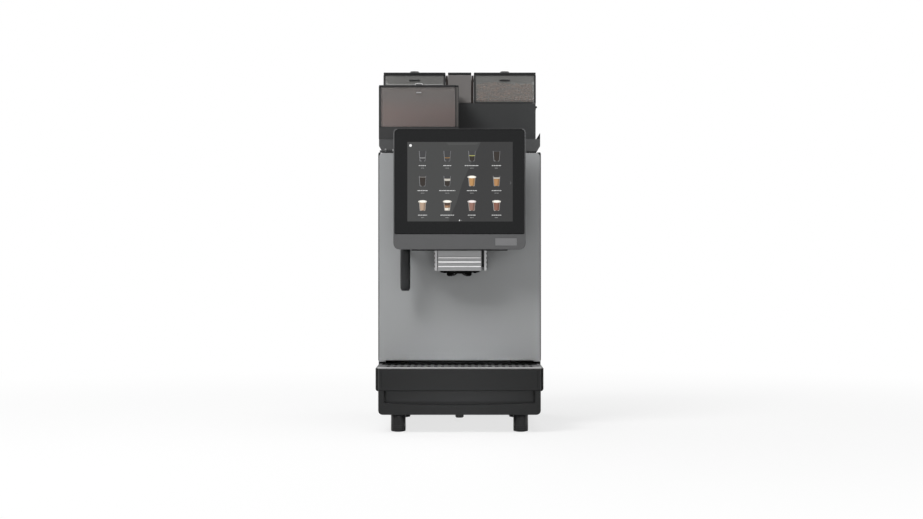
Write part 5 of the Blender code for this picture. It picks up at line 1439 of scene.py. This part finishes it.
    def lid(self) -> None:
        """Add the pressed step and the rear hinge barrels of the lid."""
        low, high = extent(f"bean_lid_{self.side}")
        top = extent(f"lock_{self.side}")[0].z
        step = Shape().box(within(low.x, high.x, 8), (low.y + 30, high.y - 8), (top - 0.6, top + 0.5), 0.4)
        for x in (low.x + 14, high.x - 34):
            step.turning([(0, 0), (2.2, 0), (2.2, 20), (0, 20)], "X", (x, high.y - 2.4, top + 0.4), 16)
        step.made(f"lid_step_{self.side}", f"{self.side}_lid", Palette.LID, "lid_grey")

    def build(self) -> None:
        """Build the hopper's detail."""
        if self.fill:
            self.heap()
        self.trim()
        self.liner()
        self.lid()
        lock(f"lock_{self.side}", f"{self.side}_lock")
        LOG.info("built the %s bean hopper", self.side)


def lock(node: str, body: str) -> None:
    """Turn a cylinder lock: a metal ring with a black barrel and a key slot.

    Args:
        node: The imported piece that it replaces.
        body: The body that it turns with.
    """
    centre, radius, tall = upright(node)
    x, y, foot = centre
    ring = [
        (0, 0), (radius, 0), (radius, tall * 0.55), (radius - 0.6, tall * 0.86), (radius - 1.4, tall),
        (radius * 0.62, tall), (radius * 0.58, tall * 0.8), (0, tall * 0.8),
    ]
    turned = Shape().turning(ring, "Z", centre, 64)
    turned.made(f"{node}_finished", body, Palette.DARK_STEEL, "chrome", node)
    barrel = [
        (0, tall * 0.78), (radius * 0.56, tall * 0.78), (radius * 0.56, tall * 0.9),
        (radius * 0.5, tall * 0.95), (0, tall * 0.95),
    ]
    Shape().turning(barrel, "Z", centre, 40).made(f"{node}_barrel", body, Palette.RUBBER, "chrome")
    level = (foot + tall * 0.9, foot + tall * 0.97)
    slot = Shape().box(around(x, radius * 0.08), around(y, radius * 0.36), level)
    slot.made(f"{node}_slot", body, Palette.CHROME, "chrome")


@dataclass
class PowderHopper:
    """The powder, the base band and the trim of the powder hopper.

    Attributes:
        body: The body that it lifts off with.
        floor: The height of the hopper's foot.
        band: The height of the opaque band at its foot.
        powder_top: The height that the powder reaches.
    """

    body: str = "powder_box"
    floor: float = 583.3
    band: float = 24.0
    powder_top: float = 684.0

    @property
    def ends(self) -> tuple[Vector, Vector]:
        """Return the lowest and the highest corner of the part that is seen."""
        low, high = extent("powder_hopper")
        return Vector((low.x, low.y, self.floor)), high

    def powder(self) -> None:
        """Pile the powder in a low, uneven heap."""
        low, high = self.ends
        gap = 2.65
        x, y = (low.x + gap, high.x - 6.6), within(low.y, high.y, gap)
        z = (low.z + self.band + 0.4, self.powder_top)
        heap = Shape().box(x, y, z)
        bmesh.ops.subdivide_edges(heap.mesh, edges=list(heap.mesh.edges), cuts=22, use_grid_fill=True)
        chance = random.Random(3)
        phases = [(chance.uniform(25, 90), chance.uniform(25, 90), chance.uniform(0, 6)) for _ in range(6)]
        for vert in heap.mesh.verts:
            place = vert.co / MM
            share = max(0.0, (place.z - z[0]) / (z[1] - z[0]))
            wave = sum(math.sin(vert.co.x * a + vert.co.y * b + c) for a, b, c in phases) / len(phases)
            across, along = (place.x - sum(x) / 2) / (x[1] - x[0]), (place.y - sum(y) / 2) / (y[1] - y[0])
            vert.co.z += share ** 3 * (1.5 * wave + 2 * (0.25 - (across ** 2 + along ** 2))) * MM
        heap.made("powder_fill", self.body, Palette.POWDER, "food_white")

    def trim(self) -> None:
        """Add the opaque base band, painted darker than the deck as shade, the dark edges, the catch and the
        corner strip.
        """
        low, high = self.ends
        skin = 0.4
        x, y, seam = (low.x - skin, high.x), (low.y - skin, high.y), low.z + self.band
        foot, front, left = (low.z + 0.1, seam), (y[0], y[0] + skin), (x[0], x[0] + skin)
        base = Shape().box(x, front, foot).box(left, y, foot).box((high.x - 0.1, high.x + skin), y, foot)
        # The base band's darker grey is painted shade.
        base.made("powder_base_band", self.body, Palette.SHADED_BAND, "deck_grey")
        proud, top = (y[0] - 0.12, y[0] + skin), high.z - 0.1
        trim = Shape().box(x, proud, (seam, seam + 1.1)).box((x[0], x[0] + 4.6), proud, (seam, top))
        trim.box(left, (proud[0], y[0] + 4), (seam, top)).box(x, proud, (high.z - 1.9, top))
        for edge in ((high.x - 7.0, high.x - 4.6), (high.x - 0.9, high.x + skin)):
            trim.box(edge, proud, (seam, top))
        trim.made("powder_trim", self.body, Palette.RIM, "hopper_smoke")
        width = around(middle(low, high)[0], 5)
        catch = Shape().box(width, (proud[0] - 0.5, proud[1]), (high.z - 13.6, high.z - 11.6))
        soften(catch.made("powder_catch", self.body, Palette.CHEEK, "chrome"), 0.3)
        width = (high.x - 4.5, high.x - 1.0)
        corner = Shape().box(width, (y[0] + 0.1, y[0] + skin), (seam + 1.2, high.z - 2))
        corner.made("powder_corner", self.body, Palette.CORNER, "hopper_smoke")

    def bail(self) -> None:
        """Bend the lock's bright bail."""
        low, high = extent("lock_powder")
        x, y, foot, top, reach = middle(low, high)[0], low.y + 1.2, low.z + 0.6, high.z - 0.9, 7.2
        corners = ((-1, foot), (-0.8, top), (-0.2, top), (0.3, top), (0.8, top), (1, foot))
        bail = Shape().tube([(x + reach * share, y, level) for share, level in corners], 0.75, 12)
        bail.made("lock_bail", "powder_lock", Palette.CHROME, "chrome")

    def lid(self) -> None:
        """Add the pressed step of the lid."""
        low, high = extent("powder_lid")
        level = (high.z - 0.6, high.z + 0.9)
        step = Shape().box(within(low.x, high.x, 6), (low.y + 26, high.y - 8), level, 0.5)
        step.made("powder_lid_step", "powder_cover", Palette.LID, "lid_grey")

    def build(self) -> None:
        """Build the powder hopper's detail."""
        self.powder()
        self.trim()
        lock("lock_powder", "powder_lock")
        self.bail()
        self.lid()
        LOG.info("built the powder hopper")


# ------------------------------------------------------------- base and cabinet


@dataclass
class Foot:
    """One of the four turned feet.

    Attributes:
        node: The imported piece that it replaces.
    """

    node: str

    def build(self) -> None:
        """Turn the foot: a gloss sleeve that narrows to a pad at its foot, and two raised rubber rings."""
        centre, radius, tall = upright(self.node)
        profile = [
            (0, 0.2), (radius * 0.5, 0.0), (radius * 0.93, 1.2), (radius * 0.97, 1.8), (radius * 0.97, 3.0),
            (radius, 3.4), (radius, tall - 1.2), (radius * 0.96, tall), (0, tall),
        ]
        sleeve = Shape().turning(profile, "Z", centre, 64)
        sleeve.made(f"{self.node}_finished", "machine", Palette.GLOSSY, "foot_black", self.node)
        rings = Shape()
        for level in (9.0, 12.0):
            ring = [
                (0, level), (radius, level), (radius * 1.012, level + 0.4),
                (radius, level + 0.8), (0, level + 0.8),
            ]
            rings.turning(ring, "Z", centre)
        rings.made(f"{self.node}_rings", "machine", Palette.RUBBER, "foot_black")


@dataclass
class Base:
    """The marks, seams and front edges of the base and the drip tray.

    Attributes:
        ribs: The X of each rib at the ends of the finger recess.
        recess: How far the recess is behind the base's front.
        columns: How many columns of dimples the grid has.
        margin: The first column's distance from the grid's side.
    """

    ribs: tuple[float, ...] = (-148.5, -145.7, 148.5, 145.7)
    recess: float = 10.4
    columns: int = 23
    margin: float = 14.0

    def finger_recess(self) -> None:
        """Add the short upright ribs at both ends of the finger recess, and a lining a little lighter than
        the base that paints light into the recess's shade.
        """
        back = extent("base_pan")[0].y + self.recess
        ribs = Shape()
        for x in self.ribs:
            ribs.box(around(x, 0.5), (back, back + 1.2), (61, 80), 0.2)
        ribs.made("recess_ribs", "machine", Palette.RUBBER, "body_black")
        # The lining's lighter grey is painted light that lifts the recess's shade.
        lining = Shape().box(around(0, 144), (back + 1.0, back + 1.5), (60, 81))
        lining.made("recess_painted_light", "machine", Palette.LID, "body_black")

    def tray(self) -> None:
        """Add the tray's bright front line and the line at each of its ends."""
        low, high = extent("drip_tray")
        level = (high.z - 0.1, high.z + 0.25)
        line = Shape().box(within(low.x, high.x, 2), (low.y + 0.1, low.y + 1.6), level)
        line.made("tray_front_line", "tray", Palette.STEEL, "stainless")
        ends = Shape()
        for side in (-1, 1):
            ends.box(around(side * (high.x - 6), 0.25), (low.y, low.y + 0.4), (low.z + 5, high.z - 4))
        ends.made("tray_end_lines", "tray", Palette.GLOSSY, "body_black")

    def grid(self) -> None:
        """Add raised cup dimples, a black mat at the back that paints the shade under the door, and a rolled
        front bar to the grid.
        """
        low, high = extent("drip_grid")
        dimples, width = Shape(), high.x - low.x - 2 * self.margin
        for column in range(self.columns):
            x = low.x + self.margin + column * width / (self.columns - 1)
            for y in (low.y + 7, middle(low, high)[1] + 0.5, high.y - 7):
                dimples.turning([(0, -0.3), (2.0, -0.3), (1.5, 0.35), (0, 0.5)], "Z", (x, y, high.z), 10)
        dimples.made("grid_dimples", "grid", Palette.GRID, "stainless")
        level = (high.z - 0.3, high.z + 0.4)
        # The matt black mat over the grid's back is painted shade, not a part of the grid.
        mat = Shape().box(within(low.x, high.x, 6), (high.y - 44, high.y - 1), level, 0.2)
        mat.made("grid_painted_shade_mat", "grid", Palette.VOID, "body_black")
        level = (high.z - 2.3, high.z + 0.3)
        bar = Shape().box(within(low.x, high.x, 1.5), (low.y - 0.3, low.y + 4), level, 0.3)
        bar.made("grid_front_bar", "grid", Palette.STEEL, "stainless")

    def build(self) -> None:
        """Build the base's detail."""
        for row in ("front", "rear"):
            for side in ("left", "right"):
                Foot(f"foot_{row}_{side}").build()
        self.finger_recess()
        self.tray()
        self.grid()
        LOG.info("built the base")


@dataclass
class Cabinet:
    """The seams, rails, vents and screws of the cabinet.

    Attributes:
        rails: The two sides of each rail.
        first_hole: The X of the first air hole.
        hole_pitch: The distance between the air holes.
        hole_level: Their height.
        holes: How many there are.
        stud: Where the pedestal's stud stands.
        seal: The width of the door's seal.
    """

    rails: tuple[Span, ...] = ((-29.0, -25.1), (25.1, 29.0))
    first_hole: float = -150.0
    hole_pitch: float = 4.2
    hole_level: float = 560.4
    holes: int = 6
    stud: Point3 = (160.0, 47.0, 660.0)
    seal: float = 3.4

    def chute_rails(self) -> None:
        """Add the dark rails between the middle chute and the two bean hoppers."""
        low, high = extent("bean_hopper_left")
        rails = Shape()
        for x in self.rails:
            rails.box(x, within(low.y, high.y, 3), (low.z + 0.2, high.z - 0.6), 0.3)
        rails.made("hopper_rails", "machine", Palette.RAIL, "lid_grey")

    def vents(self) -> None:
        """Add the row of air holes in the gap under the deck, and the bracket beside it."""
        front = extent("top_deck")[0].y
        holes = Shape()
        for step in range(self.holes):
            hole = (self.first_hole + self.hole_pitch * step, front, self.hole_level)
            holes.turning([(0, -0.4), (1.3, -0.4), (1.3, 0.5), (0, 0.5)], "Y", hole, 14)
        holes.made("deck_air_holes", "machine", Palette.RUBBER, "inner_black")
        bracket = Shape()
        for x, top in (((-151.5, -148.8), 563.6), ((-136.2, -133.6), 562.4)):
            bracket.box(x, (front - 0.3, front + 0.5), (558.4, top), 0.2)
        bracket.made("deck_bracket", "machine", Palette.STEEL, "stainless")

    def fins(self) -> None:
        """Add the black tips on the deck's two side fins, and the pedestal's side stud."""
        low, high = extent("top_deck")
        tips = Shape()
        for side, front in ((1, low.y), (-1, 25)):
            edge = side * (high.x - 0.15)
            outline = [(edge, high.z - 12.6), (edge, high.z - 0.1), (edge - side * 7.2, high.z - 12.6)]
            tips.prism(outline, (front - 0.25, front + 0.2))
        tips.made("deck_fin_tips", "machine", Palette.RUBBER, "body_black")
        profile = [(0, -1), (2.2, -1), (2.2, 1.6), (1.6, 3.0), (0, 3.3)]
        stud = Shape().turning(profile, "X", self.stud, 24)
        stud.made("pedestal_stud", "machine", Palette.RUBBER, "body_black")

    def screws(self) -> None:
        """Add the screws of the rear panel, with cross slots."""
        low, high = extent("rear_panel")
        head = [(0, -0.4), (3.4, -0.4), (3.4, 0.3), (2.4, 1.5), (0, 1.8)]
        heads, slots = Shape(), Shape()
        for x in (low.x + 8, 0.0, high.x - 8):
            for z in (low.z + 10, middle(low, high)[2], high.z - 10):
                heads.turning(head, "Y", (x, high.y, z), 20)
                for wide, tall in ((2.0, 0.35), (0.35, 2.0)):
                    slots.box(around(x, wide), (high.y + 1.2, high.y + 1.9), around(z, tall))
        heads.made("rear_screws", "machine", Palette.STEEL, "stainless")
        slots.made("rear_screw_slots", "machine", Palette.RUBBER, "inner_black")

    def door_seal(self) -> None:
        """Add the rubber seal round the back of the door."""
        low, high = extent("door_liner")
        x, y, z = within(low.x, high.x, 3), (high.y - 0.1, high.y + 0.8), within(low.z, high.z, 4)
        seal = Shape()
        for level in ((z[0], z[0] + self.seal), (z[1] - self.seal, z[1])):
            seal.box(x, y, level, 0.3)
        for width in ((x[0], x[0] + self.seal), (x[1] - self.seal, x[1])):
            seal.box(width, y, within(*z, self.seal), 0.3)
        seal.made("door_seal", "door", Palette.RUBBER, "body_black")

    def gate_knobs(self) -> None:
        """Add the pull knobs of the two bean gates."""
        profile = [(0, -5), (2.2, -5), (2.2, -0.4), (3.4, 0.2), (2.6, 0.9), (0, 1.2)]
        for side, name in ((-1, "left"), (1, "right")):
            low, high = extent(f"bean_gate_{name}")
            end = (high.x if side > 0 else low.x, *middle(low, high)[1:])
            knob = Shape().turning([(radius, side * height) for radius, height in profile], "X", end, 24)
            knob.made(f"gate_knob_{name}", f"{name}_gate", Palette.LID, "inner_black")

    def build(self) -> None:
        """Build the cabinet's detail."""
        self.chute_rails()
        self.vents()
        self.fins()
        self.screws()
        self.door_seal()
        self.gate_knobs()
        LOG.info("built the cabinet")


# ----------------------------------------------------------------- inner works


@dataclass
class InnerWorks:
    """The hoses, leads, clamps and small parts behind the door and at the back.

    Attributes:
        body: The body that they stand on.
        plugs: How many plugs the main board has.
        pins: How many pins each plug has.
        hose: The radius of a hose.
        lead: The radius of a lead.
        blades: The X and Z of each blade in the power socket.
    """

    body: str = "machine"
    plugs: int = 5
    pins: int = 4
    hose: float = 3.0
    lead: float = 0.9
    blades: tuple[Point, ...] = ((-125.0, 123.4), (-118.0, 126.8), (-111.0, 123.4))

    def plug_places(self) -> list[float]:
        """Return the X of the middle of each plug of the main board."""
        low, high = extent("main_board")
        return [low.x + (high.x - low.x) * (0.1 + 0.2 * column) for column in range(self.plugs)]

    def board(self) -> None:
        """Fit the main board with chips, capacitors and plugs with their pins."""
        low, high = extent("main_board")
        face = low.y + 1.6
        wide, tall = high.x - low.x, high.z - low.z
        chips, cans, plugs, pins = Shape(), Shape(), Shape(), Shape()
        for x in self.plug_places():
            plugs.box(around(x, 7), (face - 0.4, face + 8), (low.z + 3, low.z + 11), 0.5)
            for pin in range(self.pins):
                width = around(x + (pin - (self.pins - 1) / 2) * 3, 0.4)
                pins.box(width, (face + 7, face + 9.5), (low.z + 6.4, low.z + 7.2))
        can = [(0, -0.4), (3.6, -0.4), (3.6, 9), (3.0, 9.8), (0, 9.6)]
        for row in range(2):
            for column in range(4):
                x, z = low.x + wide * (0.2 + 0.2 * column), low.z + tall * (0.36 + 0.33 * row)
                chips.box(around(x, 3), (face - 0.4, face + 1.6), around(z, 4.5), 0.3)
                cans.turning(can, "Y", (x, face, high.z - tall * (0.07 + 0.07 * row)), 20)
        chips.made("board_chips", self.body, Palette.RUBBER, "circuit_green")
        cans.made("board_capacitors", self.body, Palette.GLOSSY, "circuit_green")
        plugs.made("board_plugs", self.body, Palette.WHITE, "circuit_green")
        pins.made("board_pins", self.body, Palette.STEEL, "circuit_green")

    def hoses(self) -> None:
        """Run the silicone hoses between the pump, the boiler, the brewer and the mixing bowl."""
        nodes = ("boiler", "pump", "brew_frame", "mixer_bowl")
        boiler, pump, brewer, bowl = (extent(node) for node in nodes)
        top = Vector((*middle(*boiler)[:2], boiler[1].z - 1))
        inlet = Vector((pump[0].x + 2, *middle(*pump)[1:]))
        brew = Vector((brewer[0].x + 4, brewer[1].y - 8, brewer[1].z - 4))
        mixer = Vector((bowl[1].x - 2, middle(*bowl)[1], bowl[1].z - 18))
        back = boiler[1].y + 12
        routes = (
            [
                inlet, Vector((inlet.x - 16, inlet.y, inlet.z)), Vector((top.x + 52, back, inlet.z + 30)),
                Vector((top.x + 40, back, top.z)), top + Vector((9, 0, 26)), top + Vector((9, 0, 0)),
            ],
            [
                top - Vector((9, 0, 0)), top + Vector((-9, 0, 40)), Vector((top.x, top.y - 30, brew.z + 10)),
                brew + Vector((-18, 16, 20)), brew,
            ],
            [
                Vector((mixer.x + 34, 59.6, mixer.z + 8)), Vector((mixer.x + 34, 30, mixer.z + 10)),
                mixer + Vector((30, 10, 16)), mixer + Vector((14, 0, 0)), mixer,
            ],
        )
        hoses, clamps = Shape(), Shape()
        for route in routes:
            hoses.tube(route, self.hose, 14)
            for end, after in ((route[0], route[1]), (route[-1], route[-2])):
                away = (after - end).normalized()
                clamps.tube([end + away * reach for reach in (3, 5, 8)], self.hose + 0.7, 14)
        hoses.made("water_hoses", self.body, Palette.HOSE, "food_white")
        clamps.made("hose_clamps", self.body, Palette.STEEL, "stainless")

    def leads(self) -> None:
        """Run the wires from the board's plugs down to the power supply, tied in a bundle."""
        board, supply = extent("main_board"), extent("power_supply")
        start, face = board[0].z + 6.8, board[0].y + 10
        gather = Vector((board[0].x + 8, face + 10, board[0].z - 22))
        end = Vector((supply[1].x - 6, supply[0].y + 30, supply[1].z - 0.4))
        wires = Shape()
        for column, x in enumerate(self.plug_places()):
            shift = Vector(((column - 2) * 1.5, (column % 2) * 1.6, 0))
            bundle = [gather + shift, gather + shift - Vector((0, 0, 14)), end + shift]
            wires.tube([(x, face, start), (x, face + 10, start - 2), *bundle], self.lead, 8)
        wires.made("board_leads", self.body, Palette.WIRE, "inner_black")
        tie = Shape().tube([gather + Vector((0, 0.8, rise)) for rise in (2, 0, -3)], 4.6, 16)
        tie.made("lead_tie", self.body, Palette.RUBBER, "inner_black")

    def boiler_bands(self) -> None:
        """Strap the boiler with two steel bands."""
        (x, y, foot), radius, tall = upright("boiler")
        bands = Shape()
        for share in (0.3, 0.62):
            level = foot + tall * share
            band = [
                (0, level), (radius, level), (radius + 0.5, level + 0.4), (radius + 0.5, level + 8),
                (radius, level + 8.4), (0, level + 8.4),
            ]
            bands.turning(band, "Z", (x, y, 0.0), 64)
        bands.made("boiler_bands", self.body, Palette.ZINC, "stainless")

    def inlet_pins(self) -> None:
        """Add the three blades in the power socket."""
        blades, depth = Shape(), (254, 266)
        for x, z in self.blades:
            blades.box(around(x, 1), depth, around(z, 2), 0.3)
        blades.made("inlet_blades", self.body, Palette.STEEL, "stainless")

    def build(self) -> None:
        """Build the small parts of the inner works."""
        self.board()
        self.hoses()
        self.leads()
        self.boiler_bands()
        self.inlet_pins()
        LOG.info("built the inner works")


# ---------------------------------------------------------------------- studio


@dataclass
class Studio:
    """The camera, the lamps, the world and the floor.

    Attributes:
        target: Where the lamps point.
        eye: Where the camera stands.
        lens: Its focal length in millimetres.
        sensor: The width of its sensor in millimetres.
        ambient: How much light the white surroundings give.
    """

    target: Point3 = (0.0, -0.1, 0.38)
    eye: Point3 = (0.0039, -4.28, 0.3388)
    lens: float = 80.0
    sensor: float = 36.0
    ambient: float = 0.1

    def build(self) -> None:
        """Set up the whole studio."""
        self.camera()
        self.lamps()
        self.world()
        self.floor()
        bpy.context.scene.view_settings.view_transform = "Standard"
        LOG.info("studio set up")

    def camera(self) -> None:
        """Add the camera, level with the middle of the machine."""
        lens = bpy.data.cameras.new("camera")
        lens.lens, lens.sensor_width = self.lens, self.sensor
        camera = bpy.data.objects.new("camera", lens)
        camera.location = self.eye
        camera.rotation_euler = (math.radians(90), 0.0, 0.0)
        bpy.context.scene.collection.objects.link(camera)
        bpy.context.scene.camera = camera

    def lamp(
        self, name: str, place: Point3, size: float, power: float,
        target: Point3 | None = None, spread: float = 180.0,
    ) -> None:
        """Add one area lamp.

        Args:
            name: Its name.
            place: Where it stands.
            size: The side of its square.
            power: Its power in watts.
            target: Where it points, or None for the machine's middle.
            spread: The angle in degrees that its light spreads over.
        """
        light = bpy.data.lights.new(name, "AREA")
        light.size, light.energy, light.spread = size, power, math.radians(spread)
        holder = bpy.data.objects.new(name, light)
        holder.location = place
        aim = Vector(target or self.target) - Vector(place)
        holder.rotation_euler = aim.to_track_quat("-Z", "Y").to_euler()
        holder.visible_glossy = False
        bpy.context.scene.collection.objects.link(holder)

    def lamps(self) -> None:
        """Add the soft key on the upper left and the weaker lamps around it."""
        self.lamp("key", (-1.35, -1.9, 2.6), 1.2, 72.0)
        self.lamp("high", (0.0, -0.9, 2.9), 1.6, 12.0)
        self.lamp("low", (0.0, -2.2, 0.25), 0.2, 0.11, (0.0, -0.12, 0.03), 10)
        self.lamp("fill", (1.2, -3.0, 0.3), 1.8, 7.0)
        self.lamp("top", (0.2, 0.3, 2.8), 1.6, 18.0)
        self.lamp("rear", (-1.2, 2.6, 1.8), 1.6, 26.0)

    def world(self) -> None:
        """Make the surroundings white to the eye and in reflections, and dimmer as light."""
        world = bpy.data.worlds.new("surroundings")
        world.use_nodes = True
        bpy.context.scene.world = world
        tree = world.node_tree
        tree.nodes.clear()
        path = tree.nodes.new("ShaderNodeLightPath")
        background = tree.nodes.new("ShaderNodeBackground")
        output = tree.nodes.new("ShaderNodeOutputWorld")
        background.inputs["Color"].default_value = (1.0, 1.0, 1.0, 1.0)
        seen = path.outputs["Is Camera Ray"]
        for ray in ("Is Glossy Ray", "Is Transmission Ray"):
            either = tree.nodes.new("ShaderNodeMath")
            either.operation = "MAXIMUM"
            tree.links.new(seen, either.inputs[0])
            tree.links.new(path.outputs[ray], either.inputs[1])
            seen = either.outputs[0]
        strength = tree.nodes.new("ShaderNodeMapRange")
        strength.inputs["To Min"].default_value = self.ambient
        strength.inputs["To Max"].default_value = 1.0
        tree.links.new(seen, strength.inputs["Value"])
        tree.links.new(strength.outputs[0], background.inputs["Strength"])
        tree.links.new(background.outputs[0], output.inputs["Surface"])

    def floor(self) -> None:
        """Lay a wide pale floor that keeps the machine's shadow and fades into the white."""
        mesh = bmesh.new()
        bmesh.ops.create_grid(mesh, x_segments=8, y_segments=8, size=12.0)
        data = bpy.data.meshes.new("floor")
        mesh.to_mesh(data)
        mesh.free()
        floor = bpy.data.objects.new("floor", data)
        bpy.context.scene.collection.objects.link(floor)
        graph = Graph("floor_paint")
        grain = graph.noise(60.0, 3.0)
        paint = graph.blend(grain, (0.86, 0.86, 0.86), (0.9, 0.9, 0.9))
        graph.surface(Base_Color=paint, Roughness=0.9, Specular_IOR_Level=0.1)
        coords = graph.node("ShaderNodeTexCoord", output="Object")
        away = graph.node("ShaderNodeVectorMath", {"operation": "LENGTH"}, {0: coords}, 1)
        seen = graph.ramp(away, 0.2, 2.2, 0.74) * graph.node("ShaderNodeLightPath", output="Is Camera Ray")
        glow = graph.node("ShaderNodeEmission", None, {"Color": (1.0, 1.0, 1.0, 1.0), "Strength": 1.0})
        painted = Wire(graph, graph.shader.outputs[0])
        mixed = graph.node("ShaderNodeMixShader", None, {0: seen, 1: painted, 2: glow})
        graph.tree.links.new(mixed.socket, graph.output.inputs["Surface"])
        data.materials.append(graph.material)


# ------------------------------------------------------------------------ main


def main() -> None:
    """Build the whole machine and its studio."""
    logging.basicConfig(level=logging.INFO, format="%(name)s: %(message)s")
    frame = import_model()
    Casework(frame).build()
    TouchScreen(extent("screen_glass")[0].y).build()
    Outlet().build()
    Wand().build()
    BeanHopper("left", 0.0).build()
    BeanHopper("right", 37.0).build()
    PowderHopper().build()
    Base().build()
    Cabinet().build()
    InnerWorks().build()
    Studio().build()


if __name__ == "__main__":
    main()
